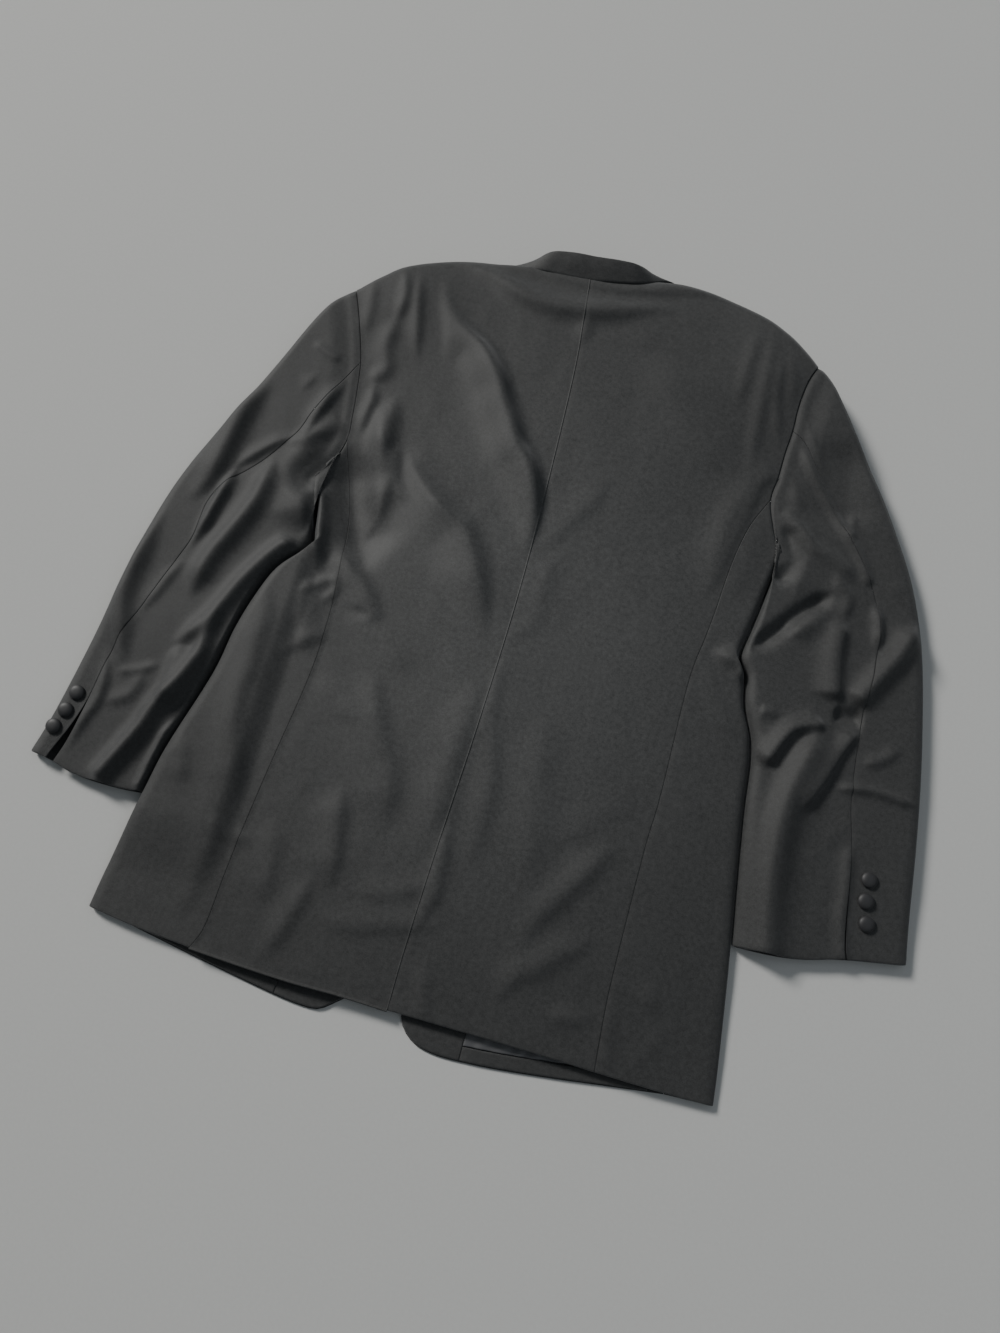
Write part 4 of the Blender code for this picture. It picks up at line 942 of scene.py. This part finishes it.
def make_front(side):
    """A front, from its seam under the side panel to the front edge, with its face down."""
    shape = front_shape(side)
    width = side.lines["shoulder"].length
    u = (stations(width, under_cell(), high=True) / width)[None, :]
    u[:, 0] = FRONT_SEAM_GAP / side.lines["front_hem"].length
    v = side.body_rows(under_cell(), ROLL_UNDER)[:, None]
    plan = patch(u, v, *shape)
    edge = patch(u, np.ones_like(v), *shape)
    outer = layer(plan, edge, ROLL_UNDER, body_top, front_under, False, rest=level)
    shell(f"front_{side.name}", outer, sizes().wool_wall, "wool",
          ["floor", f"lapel_{side.name}_cloth"], facing=(0, 0, -1))


def inside_piece(side, name, u, v, slot, relief):
    """A piece laid on the inside of a front, made from the front's own points."""
    plan = patch(u[None, :], v[:, None], *front_shape(side))
    base = (sizes().wool_wall + sizes().inside_wall) / MM + INSIDE_CLEAR
    z = base + relief(plan[..., 0], plan[..., 1])
    outer = np.concatenate([plan, z[..., None]], -1)
    edge = 0.5 * sizes().hem_depth / MM
    outer = pressed(outer, edge, edge, edge, edge, ridge=0, out=side_out(outer, slice(None)))
    shell(f"{name}_{side.name}", outer, sizes().inside_wall, slot, [f"front_{side.name}_cloth"])


def make_inside(side):
    """Facing, hem turn-up and lining, where they show past the back's hem."""
    hem = side.lines["front_hem"].length
    edge = side.lines["front_edge"].length
    seam = 1 - FACING_WIDTH / hem
    gap = SEAM_GAP / 2 / hem
    start, turn_up, top = CUT_INSET / edge, HEM_SHOWING / edge, LINING_TOP / edge

    def between(low, high, length, spacing):
        run = (high - low) * length
        return low + (high - low) * stations(run, spacing, True, True) / run

    def puckered(x, y):
        """The lining is slack: small pleats run up from the turn-up."""
        pleats = np.sin(x / PLEAT_STEP + uneven(x, y, PLEAT_UNEVEN))
        rise = np.exp(-(y - y.min(0, keepdims=True)) / PLEAT_RISE)
        return PLEAT_HEIGHT * pleats * rise + uneven(x, y, LINING_UNEVEN)

    for name, columns, rows, slot, relief in (
        ("facing", between(seam + gap, 1 - CUT_INSET / hem, hem, INSIDE_CELL),
         between(start, top, edge, INSIDE_CELL),
         "wool", lambda x, y: uneven(x, y, FACING_UNEVEN)),
        ("hem_turn_up", between(HEM_START, seam - gap, hem, INSIDE_CELL),
         between(start, turn_up - gap, edge, TURN_UP_CELL),
         "wool", lambda x, y: uneven(x, y, TURN_UP_UNEVEN)),
        ("lining", between(side.table["lining_start"], seam - gap, hem, PLEAT_CELL),
         between(turn_up + gap, top, edge, LINING_CELL), "lining", puckered),
    ):
        inside_piece(side, name, columns, rows, slot, relief)


def make_lapel(side):
    """The folded-out lapel, flat on the surface under the front."""
    lines = side.lines
    roll = lines["front_edge"]
    start, end = roll.mark(LAPEL_START), roll.mark(LAPEL_END) - GORGE_DROP
    edge_line = lines["lapel_edge"]
    rows = (stations(edge_line.length, under_cell(), True, True) / edge_line.length)[:, None]
    across = (stations(LAPEL_WIDTH, under_cell(), True, True) / LAPEL_WIDTH)[None, :, None]
    plan = roll.part(start, end)(rows) * (1 - across) + edge_line(rows) * across
    outer = np.concatenate([plan, np.zeros(plan.shape[:-1] + (1,))], -1)
    shell(f"lapel_{side.name}", outer, sizes().lapel_wall, "satin", ["floor"], facing=(0, 0, -1))


def make_sleeve(side):
    """Top sleeve and under sleeve, parted by the hind-arm seam and the forearm seam."""
    lines, arm = side.lines, side.lines["armhole"]
    outer_line = lines["sleeve_outer"]
    v = (stations(outer_line.length, cell(), True, True) / outer_line.length)[:, None]
    v[0] = SEAM_GAP / outer_line.length
    inner_line = eased(lines["sleeve_inner"], INNER_EASE)
    seam_line = eased(lines["hind_seam"], HIND_EASE)
    cuff = lines["cuff"]
    cuff_seam = cuff.mark(1)
    outer_edge, inner_edge, seam = outer_line(v[:, 0]), inner_line(v[:, 0]), seam_line(v[:, 0])
    length = arm.length

    def upper(edge, edge_line, mark_edge, cuff_end):
        """The upper layer between a folded edge and the hind-arm seam."""
        chord = np.linalg.norm(seam - edge, axis=-1)
        along = abs(side.hind_mark - mark_edge)
        width = (chord + (along - chord[0]) * (1 - v[:, 0]))[:, None]
        whole = max(chord.max(), along) - ROLL_TOP
        u, reach = folded_columns(width, ROLL_TOP, stations(whole, cell(), high=True) / whole)
        vent = side.table["vent"] / 2 * smooth((v[:, 0] - 1 + VENT_LENGTH) / VENT_LENGTH)
        squeeze = 1 - ((SEAM_GAP / 2 + vent) / width[:, 0])[:, None]
        u = u * squeeze
        low = arm.part(mark_edge, side.hind_mark)
        high = cuff.part(cuff_end, cuff_seam)
        plan = patch(u, v, low, high, edge_line, seam_line)
        return layer(plan, edge[:, None], reach, side.sleeve_top, level, True)

    top_upper = upper(outer_edge, outer_line, length, 0)
    under_upper = upper(inner_edge, inner_line, 0, cuff.length)

    # the lower layer, from the outer edge across to the inner edge
    chord = np.linalg.norm(inner_edge - outer_edge, axis=-1)
    width = (chord + (length - chord[0]) * (1 - v[:, 0]))[:, None]
    start = ROLL_UNDER / width
    half = stations(0.5 * chord.max(), under_cell()) / chord.max()
    reach_half = start + (0.5 - start) * 2 * half[None, :]
    shares = np.hstack([start * turn_steps()[None, :], reach_half])
    gap = SEAM_GAP / 2 / width
    shape = (arm.part(length, 0), cuff, outer_line, inner_line)
    lower = []
    shares = shares * (1 - 2 * gap)
    for u, edge in ((shares, outer_edge), (1 - shares, inner_edge)):
        plan = patch(u, v, *shape)
        lower.append(layer(plan, edge[:, None], ROLL_UNDER, side.sleeve_top, level, False))

    seam_depth, hem = sizes().seam_depth / MM, sizes().hem_depth / MM
    for name, above, beneath in (
        ("top_sleeve", top_upper, lower[0]), ("under_sleeve", under_upper, lower[1]),
    ):
        outer = np.concatenate([above[:, ::-1], beneath[:, 1:]], 1)
        part = slice(0, above.shape[1] // 2)
        outer = pressed(outer, left=seam_depth, bottom=ARMHOLE_DEPTH * seam_depth, top=hem,
                        out=side_out(outer, part))
        shell(f"{name}_{side.name}", outer, sizes().sleeve_wall, "wool", ["floor"], part=part)


def make_collar():
    """Stand and leaf in one folded strip, from under one front round the neck to the other."""
    foot, fold, edge = (
        Line([getattr(section, part) for section in COLLAR_SECTIONS], COLLAR_ROWS).dense
        for part in ("foot", "fold", "edge")
    )
    puffs = [section.puff for section in COLLAR_SECTIONS]
    puff = np.interp(np.arange(len(fold)) / COLLAR_ROWS, range(len(puffs)), puffs)
    # past the neck the leaf sinks with the shoulder's rounded edge
    edge[:, 2] -= LEAF_SINK * np.exp(-(((np.abs(edge[:, 0]) - LEAF_SINK_AT) / LEAF_SINK_WIDE) ** 2))
    stand, leaf = (foot + fold) / 2, fold + LEAF_BEND * (edge - fold)
    apart = COLLAR_PUFF * unit(leaf - stand + (0, 0, 1e-6)) * puff[:, None]
    frames = np.stack([foot, stand - apart, fold, leaf + apart, edge], 0)
    # smooth sections through the five lines
    sections = frames.transpose(1, 0, 2)
    outer = np.stack([Line(section, COLLAR_COLUMNS).dense for section in sections], 0)
    x, y, z = outer.transpose(2, 0, 1)
    z[...] = np.maximum(z, 0)
    z += np.clip(z / COLLAR_LEVEL, 0, 1) * uneven(x, y, COLLAR_UNEVEN)
    leaf_edge = slice(-LEAF_COLUMNS, None)
    out = side_out(outer[COLLAR_HIDDEN:-COLLAR_HIDDEN], leaf_edge)
    outer = pressed(outer, right=COLLAR_EDGE, bottom=COLLAR_ENDS, top=COLLAR_ENDS,
                    ridge=COLLAR_RIDGE, out=out)
    shell("collar", outer, sizes().lapel_wall, "wool", ["back_left_cloth", "back_right_cloth"],
          part=leaf_edge)


def make_button(side, number, place):
    """A covered button: satin drawn over a domed shell, seated on the sleeve."""
    radius, depth = sizes().button_radius, sizes().button_depth
    x, y = (np.array([float(value)]) for value in place)
    step, height = SLOPE_STEP, side.sleeve_top
    east = (height(x + step, y) - height(x - step, y))[0] / (2 * step)
    north = (height(x, y + step) - height(x, y - step))[0] / (2 * step)
    normal = Vector((-east, -north, 1)).normalized()
    point = Vector((place[0] - PLACE[0], place[1] - PLACE[1], height(x, y)[0])) * MM
    bpy.ops.object.select_all(action="DESELECT")
    bpy.ops.mesh.primitive_cylinder_add(
        vertices=32, radius=radius, depth=RIM_DEPTH * depth, end_fill_type="NGON",
        location=(0, 0, RIM_DEPTH / 2 * depth))
    button = bpy.context.object
    bpy.ops.object.mode_set(mode="EDIT")
    bpy.ops.mesh.select_mode(type="FACE")
    for way, steps in ((1, DOME_STEPS), (-1, HOLLOW_STEPS)):
        for inset, lift in steps:
            pick_face(button, way)
            bpy.ops.mesh.inset(thickness=inset * radius)
            bpy.ops.transform.translate(value=(0, 0, way * lift * depth))
    bpy.ops.object.mode_set(mode="OBJECT")
    bevel = button.modifiers.new("rim", "BEVEL")
    bevel.width, bevel.segments = BEVEL_WIDTH * radius, 2
    bevel.limit_method, bevel.angle_limit = "ANGLE", math.radians(BEVEL_ANGLE)
    smoothing = button.modifiers.new("dome", "SUBSURF")
    smoothing.levels = smoothing.render_levels = 1
    for modifier in (bevel.name, smoothing.name):
        bpy.ops.object.modifier_apply(modifier=modifier)
    bpy.ops.object.shade_smooth()
    seat = point + normal * (BUTTON_SEAT * depth)
    tilt = normal.to_track_quat("Z", "Y").to_matrix().to_4x4()
    turn = Matrix.Rotation(BUTTON_TURN * number, 4, "Z")
    button.data.transform(Matrix.Translation(seat) @ tilt @ turn)
    button.location = (0, 0, 0)
    button.name = button.data.name = f"covered_button_{side.name}_{number}"
    button.data.materials.clear()
    # the button's satin is the lightened copy, with painted sheen
    button.data.materials.append(finish("satin_button"))
    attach(button, "root")
    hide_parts(f"cuff_button_{side.name}_{number}")


def pick_face(piece, way):
    """Selects the one cap that looks up (1) or down (-1) furthest out."""
    mesh = bmesh.from_edit_mesh(piece.data)
    caps = [face for face in mesh.faces
            if way * face.normal.z > CAP_FACING and len(face.verts) > CAP_CORNERS]
    best = max(caps, key=lambda face: way * face.calc_center_median().z)
    for face in mesh.faces:
        face.select = face is best
    bmesh.update_edit_mesh(piece.data)


# ---------------------------------------------------------------- finishes


class Value:
    """A socket that takes part in sums; each sum adds a Math node."""

    def __init__(self, maker, socket):
        self.maker, self.socket = maker, socket

    def _sum(self, operation, first, second):
        node = self.maker.node("ShaderNodeMath", {"operation": operation}, {0: first, 1: second})
        return Value(self.maker, node.outputs[0])

    def __add__(self, other):
        return self._sum("ADD", self, other)

    def __sub__(self, other):
        return self._sum("SUBTRACT", self, other)

    def __rsub__(self, other):
        return self._sum("SUBTRACT", other, self)

    def __mul__(self, other):
        return self._sum("MULTIPLY", self, other)

    __radd__, __rmul__ = __add__, __mul__


class Finish:
    """A material and the one way that nodes are added to it."""

    def __init__(self, name):
        self.material = bpy.data.materials.new(name)
        self.material.use_nodes = True
        self.tree = self.material.node_tree
        self.shader = self.tree.nodes["Principled BSDF"]

    def node(self, kind, settings=None, values=None):
        node = self.tree.nodes.new(kind)
        for key, value in (settings or {}).items():
            setattr(node, key, value)
        self.feed(node, values or {})
        return node

    def feed(self, node, values):
        for key, value in values.items():
            socket = node.inputs[key]
            if isinstance(value, Value):
                self.tree.links.new(value.socket, socket)
            elif hasattr(value, "is_output"):
                self.tree.links.new(value, socket)
            else:
                socket.default_value = value

    def noise(self, place, scale, detail, roughness=0.5):
        node = self.node(
            "ShaderNodeTexNoise", {"noise_dimensions": "3D"},
            {"Vector": place, "Scale": scale, "Detail": detail, "Roughness": roughness})
        return Value(self, node.outputs["Fac"])

    def wave(self, place, spacing):
        """0 to 1 and back along a value in metres."""
        turns = place * (2 * math.pi / spacing)
        sine = self.node("ShaderNodeMath", {"operation": "SINE"}, {0: turns})
        return Value(self, sine.outputs[0]) * 0.5 + 0.5

    def vector_maths(self, operation, values):
        return self.node("ShaderNodeVectorMath", {"operation": operation}, values)

    def tone(self, base, shade):
        """A colour made lighter or darker by a value round 1."""
        return self.vector_maths("SCALE", {0: (*base,), "Scale": shade}).outputs["Vector"]


def grain_places(maker):
    """Places across and along the cloth's own grain, in metres."""
    grain = maker.node("ShaderNodeUVMap", {"uv_map": "grain"}).outputs["UV"]
    parts = maker.node("ShaderNodeSeparateXYZ", {}, {0: grain})
    return Value(maker, parts.outputs["X"]), Value(maker, parts.outputs["Y"])


def object_place(maker):
    return maker.node("ShaderNodeTexCoord").outputs["Object"]


# Painted sheen: the wool's colour is lighter round the middle of the back, where the light's sheen
# falls: the ellipse's scale in x and y, the reaches at which that starts and is whole, and the tone
# without it and what it adds.
SHEEN_PATCH_SCALE, SHEEN_PATCH_FROM, SHEEN_PATCH_FULL = (3.6, 2.6, 0), 1.2, 0.15
TONE_OUTSIDE_SHEEN, PAINTED_SHEEN_TONE = 0.8, 0.56
BUTTON_SHEEN_TONE = 2.2  # painted sheen: the buttons' satin colour is made this many times as light as the lapels', for the shine on their domes


def make_wool(name, base):
    """Fine black worsted: a barely seen twill with lint, uneven, with painted sheen that lightens
    its colour over the middle of the back.
    """
    maker = Finish(name)
    across, along = grain_places(maker)
    place = object_place(maker)
    twill = maker.wave(across + along, spacing=0.0011)
    thread = maker.wave(across - along * 0.4, spacing=0.0007)
    lint = maker.noise(place, scale=900, detail=2, roughness=0.6)
    nap = maker.noise(place, scale=240, detail=3, roughness=0.6)
    wear = maker.noise(place, scale=14, detail=3, roughness=0.55)
    # painted sheen: an ellipse round the middle of the back where the colour is made lighter
    middle = maker.vector_maths("MULTIPLY", {0: place, 1: SHEEN_PATCH_SCALE})
    reach = maker.vector_maths("LENGTH", {0: middle.outputs["Vector"]})
    painted_sheen_mask = maker.node(
        "ShaderNodeMapRange", {"interpolation_type": "SMOOTHSTEP"},
        {"Value": reach.outputs["Value"], "From Min": SHEEN_PATCH_FROM, "From Max": SHEEN_PATCH_FULL})
    painted_sheen = Value(maker, painted_sheen_mask.outputs[0])
    cloth = -0.5 + 0.3 * wear + 1.4 * nap + 1.3 * lint
    # the colour is lighter inside that ellipse and darker outside it: painted sheen
    shade = cloth * (TONE_OUTSIDE_SHEEN + PAINTED_SHEEN_TONE * painted_sheen)
    height = 0.35 * twill + 0.2 * thread + 0.6 * lint + 0.5 * nap
    bump = maker.node(
        "ShaderNodeBump", {}, {"Strength": 0.35, "Distance": 0.0004, "Height": height})
    maker.feed(maker.shader, {
        "Base Color": maker.tone(base, shade),
        "Roughness": 0.6 + 0.12 * nap - 0.05 * painted_sheen,
        "Normal": bump.outputs["Normal"],
        "Specular IOR Level": 0.5,
        "Sheen Weight": 0.3,
        "Sheen Roughness": 0.5,
        "Sheen Tint": (0.75, 0.76, 0.78, 1),
    })
    return maker.material


def make_satin(name, base, rough, uv=True):
    """Satin: smooth, with a fine rib across and soft bright reflections."""
    maker = Finish(name)
    place = object_place(maker)
    weave = maker.noise(place, scale=1600, detail=1)
    cloud = maker.noise(place, scale=60, detail=2)
    height = 0.5 * weave + 0.6 * cloud
    if uv:
        height = height + 0.4 * maker.wave(grain_places(maker)[1], spacing=0.0008)
    bump = maker.node(
        "ShaderNodeBump", {}, {"Strength": 0.2, "Distance": 0.0003, "Height": height})
    maker.feed(maker.shader, {
        "Base Color": maker.tone(base, 0.8 + 0.4 * cloud),
        "Roughness": rough + 0.1 * weave,
        "Normal": bump.outputs["Normal"],
        "Specular IOR Level": 0.6,
        "Sheen Weight": 0.05,
    })
    return maker.material


def make_floor_finish(name, base):
    maker = Finish(name)
    fine = maker.noise(object_place(maker), scale=300, detail=2)
    maker.feed(maker.shader, {
        "Base Color": maker.tone(base, 0.97 + 0.06 * fine),
        "Roughness": 0.95,
        "Specular IOR Level": 0.1,
    })
    return maker.material


def finish(name):
    """A finish by name, made when it is first asked for."""
    label = f"tuxedo_{name}"
    if label in bpy.data.materials:
        return bpy.data.materials[label]
    tint = colours()
    # the buttons' satin colour is lightened: painted sheen
    painted_sheen_button_tint = [BUTTON_SHEEN_TONE * part for part in tint.satin]
    makers = {
        "wool": lambda: make_wool(label, tint.wool),
        "satin": lambda: make_satin(label, tint.satin, rough=0.34),
        "satin_button": lambda: make_satin(label, painted_sheen_button_tint, rough=0.5, uv=False),
        "lining": lambda: make_satin(label, tint.lining, rough=0.38),
        "floor": lambda: make_floor_finish(label, tint.floor),
    }
    return makers[name]()


# ---------------------------------------------------------------- stage

CAMERA_PLACE = (0.065, -0.3325, 0.965)
CAMERA_FORWARD, CAMERA_RIGHT = (-0.0697, 0.2753, -0.9588), (0.9694, 0.2454, 0.0)
CAMERA_LENS = 27.03
AIM = (0.0, 0.0, 0.0)  # where every light points
FLOOR_SIZE, FLOOR_DROP = 8, 0.0002
LIGHTS = (  # name, place, size, power, colour
    ("key", (-7.84, 5.04, 5.82), 2.4, 1080.0, (1.0, 0.985, 0.95)),
    ("window", (1.1, 0.5, 2.0), 1.5, 3.5, (0.86, 0.93, 1.0)),
    ("fill", (1.3, -0.9, 1.6), 1.6, 2.5, (0.9, 0.95, 1.0)),
)
WORLD = (0.86, 0.95, 1.0, 1.0)
WORLD_STRENGTH = 0.12


def make_camera():
    camera = bpy.data.objects.new("camera", bpy.data.cameras.new("camera"))
    camera.data.lens, camera.data.sensor_width, camera.data.sensor_fit = CAMERA_LENS, 36, "AUTO"
    forward = Vector(CAMERA_FORWARD).normalized()
    right = Vector(CAMERA_RIGHT)
    right = (right - forward * right.dot(forward)).normalized()
    turn = Matrix((right, right.cross(forward), -forward)).transposed().to_4x4()
    camera.matrix_world = Matrix.Translation(CAMERA_PLACE) @ turn
    bpy.context.scene.collection.objects.link(camera)
    bpy.context.scene.camera = camera


def make_light(name, place, size, power, tint):
    lamp = bpy.data.lights.new(name, "AREA")
    lamp.shape, lamp.size, lamp.energy, lamp.color = "SQUARE", size, power, tint
    light = bpy.data.objects.new(name, lamp)
    light.location = place
    light.rotation_euler = (Vector(AIM) - Vector(place)).to_track_quat("-Z", "Y").to_euler()
    bpy.context.scene.collection.objects.link(light)


def make_stage():
    bpy.ops.object.select_all(action="DESELECT")
    bpy.ops.mesh.primitive_plane_add(size=FLOOR_SIZE, location=(0, 0, -FLOOR_DROP))
    floor = bpy.context.object
    floor.name = "floor"
    bpy.ops.object.transform_apply(location=True, rotation=True, scale=True)
    floor.data.materials.append(finish("floor"))
    for light in LIGHTS:
        make_light(*light)
    world = bpy.data.worlds.new("studio")
    world.use_nodes = True
    background = world.node_tree.nodes["Background"]
    background.inputs["Color"].default_value = WORLD
    background.inputs["Strength"].default_value = WORLD_STRENGTH
    bpy.context.scene.world = world
    make_camera()


# ---------------------------------------------------------------- operators and panel


def both_sides():
    return Side("left", LEFT), Side("right", RIGHT)


class TUXEDO_OT_stage(bpy.types.Operator):
    """Add the floor, the lights and the camera"""

    bl_idname = "tuxedo.stage"
    bl_label = "Stage"

    def execute(self, context):
        make_stage()
        return {"FINISHED"}


class TUXEDO_OT_fronts(bpy.types.Operator):
    """Add both fronts, which lie underneath"""

    bl_idname = "tuxedo.fronts"
    bl_label = "Fronts"

    def execute(self, context):
        for side in both_sides():
            make_front(side)
        return {"FINISHED"}


class TUXEDO_OT_insides(bpy.types.Operator):
    """Add facings, hem turn-ups and linings, which show past the back's hem"""

    bl_idname = "tuxedo.insides"
    bl_label = "Facings and linings"

    def execute(self, context):
        for side in both_sides():
            make_inside(side)
        return {"FINISHED"}


class TUXEDO_OT_lapels(bpy.types.Operator):
    """Add both satin lapels, folded out under the fronts"""

    bl_idname = "tuxedo.lapels"
    bl_label = "Lapels"

    def execute(self, context):
        for side in both_sides():
            make_lapel(side)
        return {"FINISHED"}


class TUXEDO_OT_backs(bpy.types.Operator):
    """Add both halves of the back"""

    bl_idname = "tuxedo.backs"
    bl_label = "Backs"

    def execute(self, context):
        for side in both_sides():
            make_back(side)
        return {"FINISHED"}


class TUXEDO_OT_side_panels(bpy.types.Operator):
    """Add both underarm panels"""

    bl_idname = "tuxedo.side_panels"
    bl_label = "Side panels"

    def execute(self, context):
        for side in both_sides():
            make_side_panel(side)
        return {"FINISHED"}


class TUXEDO_OT_sleeves(bpy.types.Operator):
    """Add top and under sleeve of both arms"""

    bl_idname = "tuxedo.sleeves"
    bl_label = "Sleeves"

    def execute(self, context):
        for side in both_sides():
            make_sleeve(side)
        return {"FINISHED"}


class TUXEDO_OT_collar(bpy.types.Operator):
    """Add the folded collar"""

    bl_idname = "tuxedo.collar"
    bl_label = "Collar"

    def execute(self, context):
        make_collar()
        return {"FINISHED"}


class TUXEDO_OT_cuff_buttons(bpy.types.Operator):
    """Add three covered buttons to each cuff"""

    bl_idname = "tuxedo.cuff_buttons"
    bl_label = "Cuff buttons"

    def execute(self, context):
        for side in both_sides():
            for number, place in enumerate(side.table["buttons"], 1):
                make_button(side, number, place)
        return {"FINISHED"}


OPERATORS = (
    TUXEDO_OT_stage, TUXEDO_OT_fronts, TUXEDO_OT_insides, TUXEDO_OT_lapels, TUXEDO_OT_backs,
    TUXEDO_OT_side_panels, TUXEDO_OT_sleeves, TUXEDO_OT_collar, TUXEDO_OT_cuff_buttons,
)


class TUXEDO_PT_pieces(bpy.types.Panel):
    bl_label = "Tuxedo jacket"
    bl_space_type = "VIEW_3D"
    bl_region_type = "UI"
    bl_category = "Tuxedo"

    def draw(self, context):
        for group in (context.scene.tuxedo_sizes, context.scene.tuxedo_colours):
            for key in group.__annotations__:
                self.layout.prop(group, key)
        for operator in OPERATORS:
            self.layout.operator(operator.bl_idname)


CLASSES = (TuxedoSizes, TuxedoColours, *OPERATORS, TUXEDO_PT_pieces)


def register():
    for each in CLASSES:
        bpy.utils.register_class(each)
    bpy.types.Scene.tuxedo_sizes = bpy.props.PointerProperty(type=TuxedoSizes)
    bpy.types.Scene.tuxedo_colours = bpy.props.PointerProperty(type=TuxedoColours)


def unregister():
    del bpy.types.Scene.tuxedo_colours
    del bpy.types.Scene.tuxedo_sizes
    for each in reversed(CLASSES):
        bpy.utils.unregister_class(each)


def main():
    register()
    bpy.ops.tuxedo.stage()
    bpy.ops.tuxedo.fronts()
    bpy.ops.tuxedo.insides()
    bpy.ops.tuxedo.lapels()
    bpy.ops.tuxedo.backs()
    bpy.ops.tuxedo.side_panels()
    bpy.ops.tuxedo.sleeves()
    bpy.ops.tuxedo.collar()
    bpy.ops.tuxedo.cuff_buttons()


if __name__ == "__main__":
    main()
